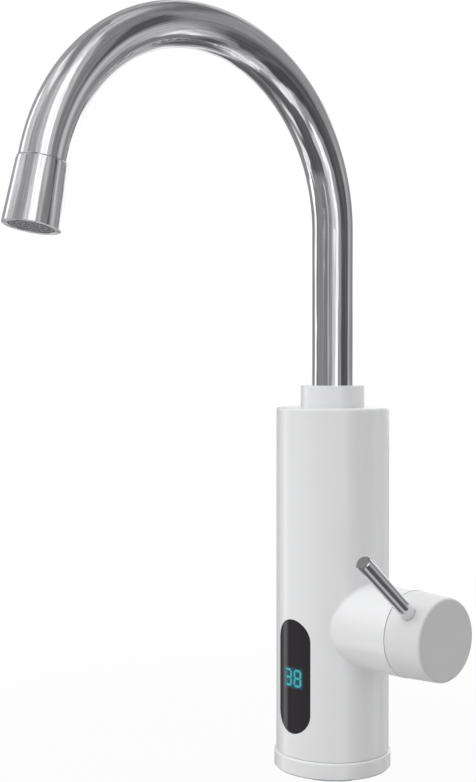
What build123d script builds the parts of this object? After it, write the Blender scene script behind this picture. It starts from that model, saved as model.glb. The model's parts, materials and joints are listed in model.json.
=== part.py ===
from build123d import *
import os
from math import cos, radians, sin

# Electric instant water heater tap for a kitchen sink.
# Frame: origin at the centre of the base's underside, +Z up, the display and the spout face -Y,
# and the knob's axis runs along +X. Every size is in millimetres.

# Clearances
fit_gap = 0.1  # between pieces pushed or screwed together
running_gap = 0.05  # radial, between a journal and its bore
swivel_gap = 0.3  # between moving and fixed covers
seam_gap = 0.2  # the seam between base ring and body

# Casing
body_r = 30.0
body_wall = 2.6
body_top_z = 190.8
body_edge_r = 1.2
base_step = 1.0  # of the base ring beyond the body
base_h = 9.0
base_floor = 4.0
base_edge = 0.8
spigot_wall = 2.1
spigot_h = 6.0
case_screw_inset = 3.1  # from the casing's inner wall
case_screw_count = 3
case_screw_start = 60.0
case_boss_r = 3.5
case_boss_top_z = 22.0
screw_shaft_r = 1.5
screw_head_r = 3.0
screw_head_h = 1.5
screw_depth = 9.0

# Side boss, knob and lever
valve_z = 78.0
boss_end_r = 22.1
boss_taper = 0.4
boss_end_x = 55.9
boss_blend_r = 2.0
boss_wall = 2.1
boss_ledge = 0.6
cover_depth = 4.5
cover_thick = 2.0
cover_hole_r = 5.6
knob_gap = 0.4
knob_length = 21.3
knob_step = 0.2  # of its root inside the boss's end
knob_taper = 1.05
knob_wall = 2.25
knob_cap = 2.5
knob_edge_r = 1.6
knob_spigot_h = 2.1
hub_r = 9.4
hub_inset = 2.7
knob_rib = 1.6
knob_rib_count = 4
insert_r = 7.0
lever_offset = 10.7  # from the knob's root
lever_angle = 40.7  # above the horizontal, towards the front
lever_reach = 65.0
lever_root_r = 3.6
lever_tip_r = 3.9
lever_seat = 14.0
lever_stud_r = 2.5
lever_chamfer = 0.5
magnet_r = 3.0
magnet_thick = 3.0
magnet_orbit = 14.0
magnet_post_r = 4.2

# Display
window_w = 22.2
window_h = 59.4
window_z = 51.4
window_thick = 1.4
window_ledge = 1.5
window_sink = 0.1
digit_z = 50.8
module_w = 15.0
module_h = 14.0
module_depth = 7.4
module_gap = 1.2  # behind the window
board_thick = 1.6
display_board_w = 32.0
display_board_low = 23.4
display_board_high = 70.6
display_post_x = 13.0
display_post_z = (28.0, 66.0)
post_r = 2.6
post_root = 1.0  # sunk in the casing's wall
small_screw_r = 1.0
small_screw_head_r = 2.0
small_screw_head_h = 1.4
small_screw_depth = 3.2

# Control electronics, on a board at the back
control_depth = 6.8  # from the casing's inner wall
control_board_w = 32.0
control_board_low = 26.0
control_board_high = 96.0
control_post_x = 12.0
control_post_z = (30.0, 90.0)
relay_size = (5.0, 15.0, 28.0)
relay_gap = 0.6
relay_z = 34.0
terminal_w = 15.0
terminal_h = 8.0
terminal_x = -9.5
terminal_z = 34.0
terminal_ways = 3
terminal_hole_r = 1.6
capacitor_r = 3.0
capacitor_h = 11.0
capacitor_z = 51.0
chip_size = (12.0, 1.5, 8.0)
chip_z = 47.0
triac_w = 10.0
triac_h = 15.0
triac_z = 70.0
triac_lead = 1.1  # between its case and the board
reed_size = (4.0, 3.0, 16.0)
reed_lift = 8.0  # above the piston's seat
case_edge_r = 0.5
sensor_size = (2.4, 8.0, 5.0)

# Supply entry, at the back
gland_z = 22.0
gland_bore_r = 3.4
gland_neck_r = 4.9
gland_bead_r = 5.8
gland_flange_r = 6.5
gland_inside = 3.4
gland_outside = 2.5
gland_chamfer = 0.8

# Deck fixing
shank_r = 10.4775  # G1/2 pipe thread over its crests
shank_bore_r = 7.0
shank_low_z = -60.0
shank_top_z = 18.0
shank_flange_r = 15.5
shank_flange_h = 4.0
shank_play = 0.4
socket_lift = 0.4
relief_z = -38.0
relief_w = 2.0
relief_depth = 0.9
strainer_h = 3.0
strainer_rim = 1.0
strainer_floor = 1.0
strainer_hole_r = 0.8
strainer_pitch = 1.28
strainer_rows = 4
gasket_land = 1.9  # between its recess and the screws' heads
gasket_thick = 1.8
deck_thick = 21.0
washer_r = 25.0
washer_thick = 3.0
backing_thick = 1.5
backing_inset = 1.0
nut_r = 16.0
nut_flange_r = 20.0
nut_flange_h = 2.0
nut_h = 10.0
nut_lug_count = 6
nut_lug_w = 5.0
nut_lug_root = 1.5
nut_lug_out = 3.2

# Flow housing, piston and spring
housing_r = 12.0
housing_drop = 20.0  # of its top below the valve's axis
piston_bore_r = 8.0
seat_lip = 2.0
piston_seat_r = 6.0
piston_h = 12.0
piston_flutes = 3
piston_flute_r = 2.0
spring_stop = 8.0  # below the housing's top
spring_coil_r = 6.6
spring_wire = 0.9  # square
spring_turns = 5
plug_r = 9.0
plug_h = 7.0

# Valve
valve_r = 15.0
valve_front_x = 27.0
valve_bore_r = 12.5
valve_seat_x = 6.5
chamber_r = 7.5
chamber_back_x = -8.0
valve_back_wall = 1.5  # behind the flow housing's joint
valve_flat_depth = 1.5
port_x = 12.0
port_r = 8.5
port_rise = 18.0
port_bore_r = 4.0
spigot_r = 6.0
spigot_depth = 4.4
disc_seal_thick = 1.4
fixed_disc_thick = 3.0
moving_disc_thick = 2.6
disc_port_r = 2.4
disc_port_orbit = 5.4
carrier_thick = 4.0
cartridge_bore_r = 10.0
bonnet_thread = 7.0
neck_r = 8.9
cartridge_end_x = 42.0
outlet_slot = (3.6, 14.0)
outlet_groove = 1.0
stem_r = 5.0
stem_past_clip = 3.6
drive_r = 4.0
drive_flat = 3.3
drive_past_lever = 3.0
stem_groove_offset = 4.0
stem_groove_w = 1.4
stem_seal_r = 0.5
clip_gap = 0.4
clip_thick = 1.0
clip_r = 6.6
clip_groove_r = 4.2
clip_opening = 5.0
bonnet_across = 30.0
bonnet_h = 5.0

# Heating tank
tank_gap = 4.4  # to the casing
tank_wall = 1.4
tank_lift = 8.0  # above the valve's port
tank_headroom = 25.8
tank_flange_w = 2.4
tank_flange_h = 1.4
tank_edge_r = 4.0
tank_seal_thick = 1.2
lid_thick = 2.4
clamp_wall = 1.3
clamp_lip = 1.2
clamp_split = 2.0
coil_r = 13.0
coil_rod_r = 3.0
hairpin_count = 3
hairpin_start = -60.0
hairpin_floor_gap = 14.0  # from the tank's floor to the centres of the lower bends
hairpin_lid_gap = 19.5
coil_foot = 4.0  # below the tank
heater_nut_r = 4.2
heater_nut_h = 2.5
terminal_r = 1.2
terminal_h_pin = 5.0
cutout_r = 6.0
cutout_h = 6.0
cutout_blade = (1.0, 4.0, 3.0)
cutout_spot = (-11.0, 11.0)
probe_r = 1.5
probe_depth = 6.4
probe_head_r = 2.6
probe_head_h = 3.4

# Spout socket, collar and swivel joint
socket_r = 14.0
socket_bore_r = 9.0
socket_stand = 5.2  # above the body
shoulder_r = 19.0
shoulder_h = 3.2
collar_r = 17.0
collar_h = 11.6
collar_edge_r = 0.5
collar_lip = 3.8
ring_thick = 1.0
connector_flange_r = 12.4
connector_tail = 20.0
connector_bore_r = 6.5
connector_head = 16.0
spout_seal_lift = (5.0, 11.0)
spout_seal_r = 0.9

# Spout and nozzle
spout_r = 11.0
spout_wall = 1.0
bend_r = 92.4
riser_h = 81.7
bend_angle = 168.3
nozzle_length = 30.0
nozzle_root_step = 0.7
nozzle_end_step = 2.1
nozzle_band = 1.4
nozzle_band_step = 0.45
nozzle_overlap = 8.0
nozzle_wall = 1.5
nozzle_lip = 1.2
aerator_washer_thick = 1.6
aerator_screen_thick = 0.8
aerator_recess = 0.4
aerator_hole_r = 0.75
aerator_hole_rings = 3
aerator_ring_step = 2.6

# Places worked out from the sizes above
body_low_z = base_h + seam_gap
inner_r = body_r - body_wall
inner_top_z = body_top_z - body_wall
base_r = body_r + base_step
case_screw_circle_r = inner_r - case_screw_inset
rebate_r = body_r - window_sink - window_thick
post_reach_r = inner_r + post_root

boss_root_r = boss_end_r + boss_taper
boss_bore_r = boss_end_r - boss_wall
cover_x = boss_end_x - cover_depth
cover_bore_r = boss_bore_r + boss_ledge
knob_root_x = boss_end_x + knob_gap
knob_end_x = knob_root_x + knob_length
knob_root_r = boss_end_r - knob_step
knob_end_r = knob_root_r - knob_taper
knob_bore_r = knob_end_r - knob_wall
knob_face_x = knob_end_x - knob_cap
spigot_outer_r = cover_bore_r - swivel_gap
hub_root_x = knob_root_x + hub_inset
magnet_x = hub_root_x + magnet_thick
lever_x = knob_root_x + lever_offset

module_front_y = rebate_r - module_gap
display_y = module_front_y - module_depth
control_y = inner_r - control_depth
control_front_y = control_y - board_thick
relay_x = housing_r + relay_gap + relay_size[0] / 2
terminal_depth = control_front_y - housing_r - 2 * fit_gap
capacitor_x = -housing_r - fit_gap - capacitor_r
triac_pad_y = valve_r - valve_flat_depth
gland_inner_y = inner_r - gland_inside
gland_outer_y = body_r + gland_outside

shank_hole_r = shank_r + shank_play
gasket_outer_r = case_screw_circle_r - screw_head_r - gasket_land
gasket_inner_r = shank_hole_r + 3 * fit_gap
washer_top_z = -deck_thick
backing_top_z = washer_top_z - washer_thick
nut_top_z = backing_top_z - backing_thick
socket_low_z = base_floor + shank_flange_h + socket_lift
housing_top_z = valve_z - housing_drop
piston_seat_z = shank_top_z + seat_lip
spring_stop_z = housing_top_z - spring_stop

valve_back_x = -housing_r - valve_back_wall
port_top_z = valve_z + port_rise
spigot_low_z = port_top_z - spigot_depth
disc_r = cartridge_bore_r - 2 * fit_gap
disc_seal_bore_r = disc_port_orbit + disc_port_r + 2 * fit_gap
fixed_disc_x = valve_seat_x + disc_seal_thick + running_gap
moving_disc_x = fixed_disc_x + fixed_disc_thick + running_gap
carrier_x = moving_disc_x + moving_disc_thick + running_gap
cartridge_step_x = carrier_x + carrier_thick + running_gap
cartridge_shoulder_x = valve_front_x - bonnet_thread
stem_groove_x = cartridge_shoulder_x + stem_groove_offset
clip_x = cartridge_end_x + clip_gap
stem_end_x = clip_x + stem_past_clip
drive_end_x = lever_x + drive_past_lever

tank_r = inner_r - tank_gap
tank_bore_r = tank_r - tank_wall
tank_low_z = port_top_z + tank_lift
tank_flange_z = body_top_z - tank_headroom
tank_flange_r = tank_r + tank_flange_w
lid_z = tank_flange_z + tank_seal_thick
lid_top_z = lid_z + lid_thick
coil_end_z = tank_low_z - coil_foot
hairpin_low_z = tank_low_z + hairpin_floor_gap
hairpin_high_z = tank_flange_z - hairpin_lid_gap
probe_x = -socket_r - 3 * fit_gap - probe_head_r

socket_top_z = body_top_z + socket_stand
collar_top_z = body_top_z + collar_h
lip_low_z = collar_top_z - collar_lip
flange_low_z = socket_top_z + ring_thick + running_gap
flange_top_z = lip_low_z - running_gap
connector_low_z = socket_top_z - connector_tail
connector_top_z = socket_top_z + connector_head
spout_seal_z = [connector_low_z + lift for lift in spout_seal_lift]
bend_low_z = collar_top_z + riser_h
nozzle_band_r = spout_r + nozzle_band_step
nozzle_root_r = spout_r + nozzle_root_step
nozzle_end_r = spout_r + nozzle_end_step
nozzle_mouth_r = nozzle_end_r - nozzle_wall - nozzle_lip

# The valve's axis, and planes that hold it
valve_axis = Axis((0, 0, valve_z), (1, 0, 0))
valve_plane = Plane(origin=(0, 0, valve_z), x_dir=(0, 1, 0), z_dir=(1, 0, 0))
valve_section = Plane(origin=(0, 0, valve_z), x_dir=(1, 0, 0), z_dir=(0, -1, 0))

# The cable gland's axis, and planes that hold it
gland_axis = Axis((0, 0, gland_z), (0, 1, 0))
gland_plane = Plane(origin=(0, 0, gland_z), x_dir=(1, 0, 0), z_dir=(0, 1, 0))
gland_section = Plane(origin=(0, 0, gland_z), x_dir=(0, 1, 0), z_dir=(1, 0, 0))

# The upright axes of the valve's outlet port and of the temperature probe
port_plane = Plane(origin=(port_x, 0, 0), x_dir=(0, 1, 0), z_dir=(0, 0, 1))
probe_plane = Plane(origin=(probe_x, 0, 0), z_dir=(0, 0, 1))

# The lever's own plane, with its normal along the rod
lever_dir = Vector(0, -cos(radians(lever_angle)), sin(radians(lever_angle)))
lever_plane = Plane(origin=(lever_x, 0, valve_z), x_dir=(1, 0, 0), z_dir=lever_dir)

# The heating element's legs stand round the tank's axis
leg_step = 180 / hairpin_count
coil_legs = [
    Vector(coil_r, 0, 0).rotate(Axis.Z, hairpin_start + leg_step * leg)
    for leg in range(2 * hairpin_count)
]

# The nozzle's axis starts where the bend ends
nozzle_start = Vector(
    0,
    bend_r * cos(radians(bend_angle)) - bend_r,
    bend_low_z + bend_r * sin(radians(bend_angle)),
)
nozzle_dir = Vector(0, -sin(radians(bend_angle)), cos(radians(bend_angle)))
nozzle_axis = Axis(nozzle_start, nozzle_dir)
nozzle_plane = Plane(origin=nozzle_start, x_dir=(1, 0, 0), z_dir=nozzle_dir)
nozzle_section = Plane(
    origin=nozzle_start, x_dir=(1, 0, 0), z_dir=Vector(1, 0, 0).cross(nozzle_dir)
)


def turned(outline, plane=Plane.XZ, axis=Axis.Z, mode=Mode.ADD):
    """Revolve a closed outline in the part that is being built."""
    with BuildSketch(plane) as section:
        with BuildLine():
            Polyline(*outline, close=True)
        make_face()
    revolve(section.sketch, axis=axis, mode=mode)


def round_bar(plane, low, high, radius, bore=0.0, mode=Mode.ADD):
    """Add a round bar or tube along the plane's normal to the part that is being built."""
    with BuildSketch(plane.offset(low)) as section:
        Circle(radius)
        if bore:
            Circle(bore, mode=Mode.SUBTRACT)
    extrude(section.sketch, amount=high - low, mode=mode)


# Casing

# Posts inside the casing that the two boards are screwed to, trimmed to end inside the wall
with BuildPart() as board_posts:
    with BuildSketch(Plane.XZ.offset(display_y)):
        with Locations(*[(x, z) for x in (-display_post_x, display_post_x) for z in display_post_z]):
            Circle(post_r)
            Circle(small_screw_r + fit_gap, mode=Mode.SUBTRACT)
    extrude(amount=body_r)
    with BuildSketch(Plane.XZ.offset(-control_y)):
        with Locations(*[(x, z) for x in (-control_post_x, control_post_x) for z in control_post_z]):
            Circle(post_r)
            Circle(small_screw_r + fit_gap, mode=Mode.SUBTRACT)
    extrude(amount=-body_r)
    with BuildSketch():
        Circle(post_reach_r)
    extrude(amount=body_top_z, mode=Mode.INTERSECT)

# The rebate that the display window lies in, which follows the casing's curve
with BuildPart() as window_rebate:
    with BuildSketch(Plane.XZ):
        with Locations((0, window_z)):
            SlotOverall(window_h + 2 * fit_gap, window_w + 2 * fit_gap, rotation=90)
    extrude(amount=2 * body_r)
    round_bar(Plane.XY, 0, body_top_z, rebate_r, mode=Mode.SUBTRACT)

with BuildPart() as body_shell:
    round_bar(Plane.XY, body_low_z, body_top_z, body_r)
    fillet(body_shell.edges().group_by(Axis.Z)[-1], body_edge_r)
    turned(
        [(0, 0), (0, boss_root_r), (boss_end_x, boss_end_r), (boss_end_x, 0)],
        valve_section,
        valve_axis,
    )
    blend = body_shell.edges().filter_by(GeomType.BSPLINE)
    fillet(blend, boss_blend_r)
    round_bar(Plane.XY, body_low_z, inner_top_z, inner_r, mode=Mode.SUBTRACT)
    round_bar(Plane.XY, inner_top_z, body_top_z, socket_r + fit_gap, mode=Mode.SUBTRACT)
    round_bar(valve_plane, 0, boss_end_x, boss_bore_r, mode=Mode.SUBTRACT)
    round_bar(valve_plane, cover_x, boss_end_x, cover_bore_r, mode=Mode.SUBTRACT)
    add(window_rebate.part, mode=Mode.SUBTRACT)
    with BuildSketch(Plane.XZ):
        with Locations((0, window_z)):
            SlotOverall(window_h - 2 * window_ledge, window_w - 2 * window_ledge, rotation=90)
    extrude(amount=body_r, mode=Mode.SUBTRACT)
    round_bar(gland_plane, gland_inner_y, body_r, gland_neck_r + fit_gap, mode=Mode.SUBTRACT)
    add(board_posts.part)
    with BuildSketch(Plane.XY.offset(base_floor + fit_gap)):
        with PolarLocations(case_screw_circle_r, case_screw_count, case_screw_start):
            Circle(case_boss_r)
            Circle(screw_shaft_r + running_gap, mode=Mode.SUBTRACT)
    extrude(amount=case_boss_top_z - base_floor)

with BuildPart() as base_ring:
    turned(
        [
            (shank_hole_r, 0),
            (base_r - base_edge, 0),
            (base_r, base_edge),
            (base_r, base_h - base_edge),
            (base_r - base_edge, base_h),
            (inner_r - fit_gap, base_h),
            (inner_r - fit_gap, base_h + spigot_h),
            (inner_r - fit_gap - spigot_wall, base_h + spigot_h),
            (inner_r - fit_gap - spigot_wall, base_floor),
            (shank_hole_r, base_floor),
        ]
    )
    round_bar(Plane.XY, 0, gasket_thick, gasket_outer_r + fit_gap, mode=Mode.SUBTRACT)
    with BuildSketch(Plane.XY.offset(base_floor)):
        with PolarLocations(case_screw_circle_r, case_screw_count, case_screw_start):
            Circle(case_boss_r + seam_gap)
    extrude(amount=base_h + spigot_h, mode=Mode.SUBTRACT)
    with BuildSketch():
        with PolarLocations(case_screw_circle_r, case_screw_count, case_screw_start):
            Circle(screw_shaft_r + seam_gap)
    extrude(amount=base_floor, mode=Mode.SUBTRACT)
    with BuildSketch():
        with PolarLocations(case_screw_circle_r, case_screw_count, case_screw_start):
            Circle(screw_head_r + seam_gap)
    extrude(amount=screw_head_h + seam_gap, mode=Mode.SUBTRACT)

with BuildPart() as base_screws:
    with BuildSketch(Plane.XY.offset(seam_gap)):
        with PolarLocations(case_screw_circle_r, case_screw_count, case_screw_start):
            Circle(screw_head_r)
    extrude(amount=screw_head_h)
    with BuildSketch(Plane.XY.offset(seam_gap + screw_head_h)):
        with PolarLocations(case_screw_circle_r, case_screw_count, case_screw_start):
            Circle(screw_shaft_r)
    extrude(amount=base_floor + screw_depth)

with BuildPart() as neck_collar:
    turned(
        [
            (socket_r + running_gap, body_top_z),
            (collar_r, body_top_z),
            (collar_r, collar_top_z),
            (spout_r + 3 * running_gap, collar_top_z),
            (spout_r + 3 * running_gap, lip_low_z),
            (socket_r + running_gap, lip_low_z),
        ]
    )
    rim = neck_collar.edges().group_by(Axis.Z)[-1].sort_by(SortBy.RADIUS)[-1]
    fillet(rim, collar_edge_r)

with BuildPart() as boss_cover:
    round_bar(valve_plane, cover_x, cover_x + cover_thick, cover_bore_r - fit_gap, cover_hole_r)

# Display

with BuildPart() as display_window:
    with BuildSketch(Plane.XZ):
        with Locations((0, window_z)):
            SlotOverall(window_h, window_w, rotation=90)
    extrude(amount=body_r)
    round_bar(Plane.XY, 0, body_top_z, rebate_r + running_gap, mode=Mode.SUBTRACT)
    round_bar(Plane.XY, 0, body_top_z, body_r - window_sink, mode=Mode.INTERSECT)

with BuildPart() as display_board:
    with BuildSketch(Plane.XZ.offset(display_y)):
        with Locations((0, (display_board_low + display_board_high) / 2)):
            RectangleRounded(display_board_w, display_board_high - display_board_low, post_r)
        with Locations(*[(x, z) for x in (-display_post_x, display_post_x) for z in display_post_z]):
            Circle(small_screw_r + fit_gap, mode=Mode.SUBTRACT)
    extrude(amount=-board_thick)

with BuildPart() as digit_module:
    with BuildSketch(Plane.XZ.offset(display_y)):
        with Locations((0, digit_z)):
            Rectangle(module_w, module_h)
    extrude(amount=module_front_y - display_y)

with BuildPart() as display_screws:
    spots = [(x, z) for x in (-display_post_x, display_post_x) for z in display_post_z]
    with BuildSketch(Plane.XZ.offset(display_y - board_thick)):
        with Locations(*spots):
            Circle(small_screw_head_r)
    extrude(amount=-small_screw_head_h)
    with BuildSketch(Plane.XZ.offset(display_y - board_thick)):
        with Locations(*spots):
            Circle(small_screw_r)
    extrude(amount=board_thick + small_screw_depth)

# Control electronics

with BuildPart() as control_board:
    with BuildSketch(Plane.XZ.offset(-control_y)):
        with Locations((0, (control_board_low + control_board_high) / 2)):
            RectangleRounded(control_board_w, control_board_high - control_board_low, post_r)
        with Locations(*[(x, z) for x in (-control_post_x, control_post_x) for z in control_post_z]):
            Circle(small_screw_r + fit_gap, mode=Mode.SUBTRACT)
    extrude(amount=board_thick)

control_face = Plane.XZ.offset(board_thick - control_y)

with BuildPart() as board_screws:
    spots = [(x, z) for x in (-control_post_x, control_post_x) for z in control_post_z]
    with BuildSketch(control_face):
        with Locations(*spots):
            Circle(small_screw_head_r)
    extrude(amount=small_screw_head_h)
    with BuildSketch(control_face):
        with Locations(*spots):
            Circle(small_screw_r)
    extrude(amount=-board_thick - small_screw_depth)

with BuildPart() as power_relay:
    with BuildSketch(control_face):
        with Locations((relay_x, relay_z + relay_size[2] / 2)):
            Rectangle(relay_size[0], relay_size[2])
    extrude(amount=relay_size[1])
    fillet(power_relay.edges().filter_by(Axis.Y), case_edge_r)

with BuildPart() as mains_terminal_block:
    with BuildSketch(control_face):
        with Locations((terminal_x, terminal_z + terminal_h / 2)):
            Rectangle(terminal_w, terminal_h)
    extrude(amount=terminal_depth)
    with BuildSketch(Plane.XY.offset(terminal_z)):
        with Locations((terminal_x, control_front_y - terminal_depth / 2)):
            with GridLocations(terminal_w / terminal_ways, 1, terminal_ways, 1):
                Circle(terminal_hole_r)
    extrude(amount=terminal_h / 2, mode=Mode.SUBTRACT)

with BuildPart() as smoothing_capacitor:
    with BuildSketch(control_face):
        with Locations((capacitor_x, capacitor_z)):
            Circle(capacitor_r)
    extrude(amount=capacitor_h)
    fillet(smoothing_capacitor.edges().group_by(Axis.Y)[0], case_edge_r)

with BuildPart() as controller_chip:
    with BuildSketch(control_face):
        with Locations((0, chip_z)):
            Rectangle(chip_size[0], chip_size[2])
    extrude(amount=chip_size[1])

with BuildPart() as power_triac:
    with BuildSketch(Plane.XZ.offset(-triac_pad_y)):
        with Locations((0, triac_z + triac_h / 2)):
            Rectangle(triac_w, triac_h)
    extrude(amount=triac_pad_y - control_front_y + triac_lead)

with BuildPart() as reed_switch:
    with BuildSketch(Plane.XY.offset(piston_seat_z + reed_lift)):
        with Locations((0, -housing_r)):
            Rectangle(reed_size[0], 2 * reed_size[1])
        Circle(housing_r + running_gap, mode=Mode.SUBTRACT)
    extrude(amount=reed_size[2])

with BuildPart() as position_sensor:
    with BuildSketch(valve_plane.offset(cover_x)):
        with Locations((0, magnet_orbit)):
            Rectangle(sensor_size[1], sensor_size[2])
    extrude(amount=-sensor_size[0])

# A rubber gland whose flange and inner bead grip the casing's curved wall
with BuildPart() as cable_gland:
    round_bar(gland_plane, gland_inner_y, inner_r, gland_bead_r)
    round_bar(gland_plane, inner_r, gland_outer_y, gland_flange_r)
    chamfer(cable_gland.edges().group_by(Axis.Y)[-1], gland_chamfer)
    round_bar(Plane.XY, 0, 2 * gland_z, body_r, inner_r - fit_gap, Mode.SUBTRACT)
    round_bar(gland_plane, gland_inner_y, gland_outer_y - gland_chamfer, gland_neck_r)
    round_bar(gland_plane, gland_inner_y, gland_outer_y, gland_bore_r, mode=Mode.SUBTRACT)

# Deck fixing

with BuildPart() as inlet_shank:
    turned(
        [
            (shank_bore_r, shank_low_z),
            (shank_r - relief_depth, shank_low_z),
            (shank_r, shank_low_z + relief_depth),
            (shank_r, relief_z),
            (shank_r - relief_depth, relief_z),
            (shank_r - relief_depth, relief_z + relief_w),
            (shank_r, relief_z + relief_w),
            (shank_r, base_floor),
            (shank_flange_r, base_floor),
            (shank_flange_r, base_floor + shank_flange_h),
            (shank_r, base_floor + shank_flange_h),
            (shank_r, shank_top_z),
            (shank_bore_r, shank_top_z),
        ]
    )

with BuildPart() as inlet_strainer:
    round_bar(Plane.XY, shank_low_z, shank_low_z + strainer_h, shank_bore_r - fit_gap)
    with BuildSketch(Plane.XY.offset(shank_low_z)):
        Circle(shank_bore_r - fit_gap - strainer_rim)
    extrude(amount=strainer_h - strainer_floor, mode=Mode.SUBTRACT)
    with BuildSketch(Plane.XY.offset(shank_low_z)):
        with HexLocations(strainer_pitch, strainer_rows, strainer_rows):
            Circle(strainer_hole_r)
    extrude(amount=strainer_h, mode=Mode.SUBTRACT)

with BuildPart() as deck_gasket:
    round_bar(Plane.XY, 0, gasket_thick, gasket_outer_r, gasket_inner_r)

with BuildPart() as deck_washer:
    round_bar(Plane.XY, backing_top_z, washer_top_z, washer_r, shank_r + fit_gap)

with BuildPart() as backing_washer:
    round_bar(Plane.XY, nut_top_z, backing_top_z, washer_r - backing_inset, shank_r + fit_gap)

with BuildPart() as mounting_nut:
    round_bar(Plane.XY, nut_top_z - nut_h, nut_top_z, nut_r)
    round_bar(Plane.XY, nut_top_z - nut_flange_h, nut_top_z, nut_flange_r)
    with BuildSketch(Plane.XY.offset(nut_top_z - nut_h)):
        with PolarLocations(nut_r - nut_lug_root, nut_lug_count):
            Rectangle(nut_lug_root + nut_lug_out, nut_lug_w, align=(Align.MIN, Align.CENTER))
    extrude(amount=nut_h)
    round_bar(Plane.XY, nut_top_z - nut_h, nut_top_z, shank_r + fit_gap, mode=Mode.SUBTRACT)

# Flow housing, piston and spring

with BuildPart() as flow_housing:
    turned(
        [
            (shank_r + fit_gap, socket_low_z),
            (housing_r, socket_low_z),
            (housing_r, housing_top_z),
            (plug_r, housing_top_z),
            (plug_r, housing_top_z + plug_h),
            (piston_seat_r, housing_top_z + plug_h),
            (piston_seat_r, spring_stop_z),
            (piston_bore_r, spring_stop_z),
            (piston_bore_r, piston_seat_z),
            (piston_seat_r, piston_seat_z),
            (piston_seat_r, shank_top_z),
            (shank_r + fit_gap, shank_top_z),
        ]
    )
    # The groove for the joint's seal
    round_bar(
        Plane.XY,
        housing_top_z + plug_h / 2 - spout_seal_r,
        housing_top_z + plug_h / 2 + spout_seal_r,
        plug_r,
        plug_r - 2 * spout_seal_r,
        Mode.SUBTRACT,
    )

with BuildPart() as flow_piston:
    round_bar(Plane.XY, piston_seat_z + fit_gap, piston_seat_z + piston_h, piston_bore_r - running_gap)
    with BuildSketch(Plane.XY.offset(piston_seat_z)):
        with PolarLocations(piston_bore_r, piston_flutes):
            Circle(piston_flute_r)
    extrude(amount=piston_h, mode=Mode.SUBTRACT)

with BuildPart() as flow_spring:
    spring_low = piston_seat_z + piston_h + spring_wire / 2 + running_gap
    spring_high = spring_stop_z - spring_wire / 2 - running_gap
    with BuildLine(Plane.XY.offset(spring_low)):
        Helix((spring_high - spring_low) / spring_turns, spring_high - spring_low, spring_coil_r)
    with BuildSketch(Plane.XZ):
        with Locations((spring_coil_r, spring_low)):
            Rectangle(spring_wire, spring_wire)
    sweep(is_frenet=True)

# Valve

with BuildPart() as valve_body:
    round_bar(valve_plane, valve_back_x, valve_front_x, valve_r)
    round_bar(Plane.XY, housing_top_z, valve_z, housing_r)
    round_bar(port_plane, valve_z, port_top_z, port_r)
    round_bar(valve_plane, chamber_back_x, valve_seat_x, chamber_r, mode=Mode.SUBTRACT)
    round_bar(valve_plane, valve_seat_x, valve_front_x, valve_bore_r, mode=Mode.SUBTRACT)
    round_bar(
        Plane.XY,
        housing_top_z,
        housing_top_z + plug_h + fit_gap,
        plug_r + running_gap,
        mode=Mode.SUBTRACT,
    )
    round_bar(Plane.XY, housing_top_z, valve_z, piston_seat_r, mode=Mode.SUBTRACT)
    round_bar(port_plane, spigot_low_z - fit_gap, port_top_z, spigot_r + running_gap, mode=Mode.SUBTRACT)
    round_bar(port_plane, valve_z, port_top_z, port_bore_r, mode=Mode.SUBTRACT)
    # The flat that cools the triac
    with BuildSketch(Plane.XZ.offset(-triac_pad_y)):
        with Locations((0, valve_z)):
            Rectangle(2 * valve_r, 2 * valve_r)
    extrude(amount=-valve_r, mode=Mode.SUBTRACT)

with BuildPart() as disc_seal:
    round_bar(valve_plane, valve_seat_x, valve_seat_x + disc_seal_thick, disc_r, disc_seal_bore_r)

with BuildPart() as fixed_disc:
    round_bar(valve_plane, fixed_disc_x, fixed_disc_x + fixed_disc_thick, disc_r)
    with BuildSketch(valve_plane.offset(fixed_disc_x)):
        with PolarLocations(disc_port_orbit, 2):
            Circle(disc_port_r)
    extrude(amount=fixed_disc_thick, mode=Mode.SUBTRACT)

with BuildPart() as moving_disc:
    round_bar(valve_plane, moving_disc_x, moving_disc_x + moving_disc_thick, disc_r)
    with BuildSketch(valve_plane.offset(moving_disc_x)):
        with PolarLocations(disc_port_orbit, 2, 180 - lever_angle):
            Circle(disc_port_r)
    extrude(amount=moving_disc_thick, mode=Mode.SUBTRACT)

with BuildPart() as cartridge_body:
    turned(
        [
            (valve_seat_x + running_gap, cartridge_bore_r),
            (valve_seat_x + running_gap, valve_bore_r - fit_gap),
            (cartridge_shoulder_x, valve_bore_r - fit_gap),
            (cartridge_shoulder_x, neck_r),
            (cartridge_end_x, neck_r),
            (cartridge_end_x, stem_r),
            (cartridge_step_x, stem_r),
            (cartridge_step_x, cartridge_bore_r),
        ],
        valve_section,
        valve_axis,
    )
    # Two side slots and the groove that joins them let the water out to the port above
    with BuildSketch(Plane.XZ):
        with Locations((carrier_x + carrier_thick / 2, valve_z)):
            Rectangle(*outlet_slot)
    extrude(amount=valve_bore_r, both=True, mode=Mode.SUBTRACT)
    round_bar(
        valve_plane,
        carrier_x,
        carrier_x + carrier_thick,
        valve_bore_r,
        valve_bore_r - fit_gap - outlet_groove,
        Mode.SUBTRACT,
    )
    round_bar(valve_plane, cartridge_step_x, cartridge_end_x, neck_r, stem_r)

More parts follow.
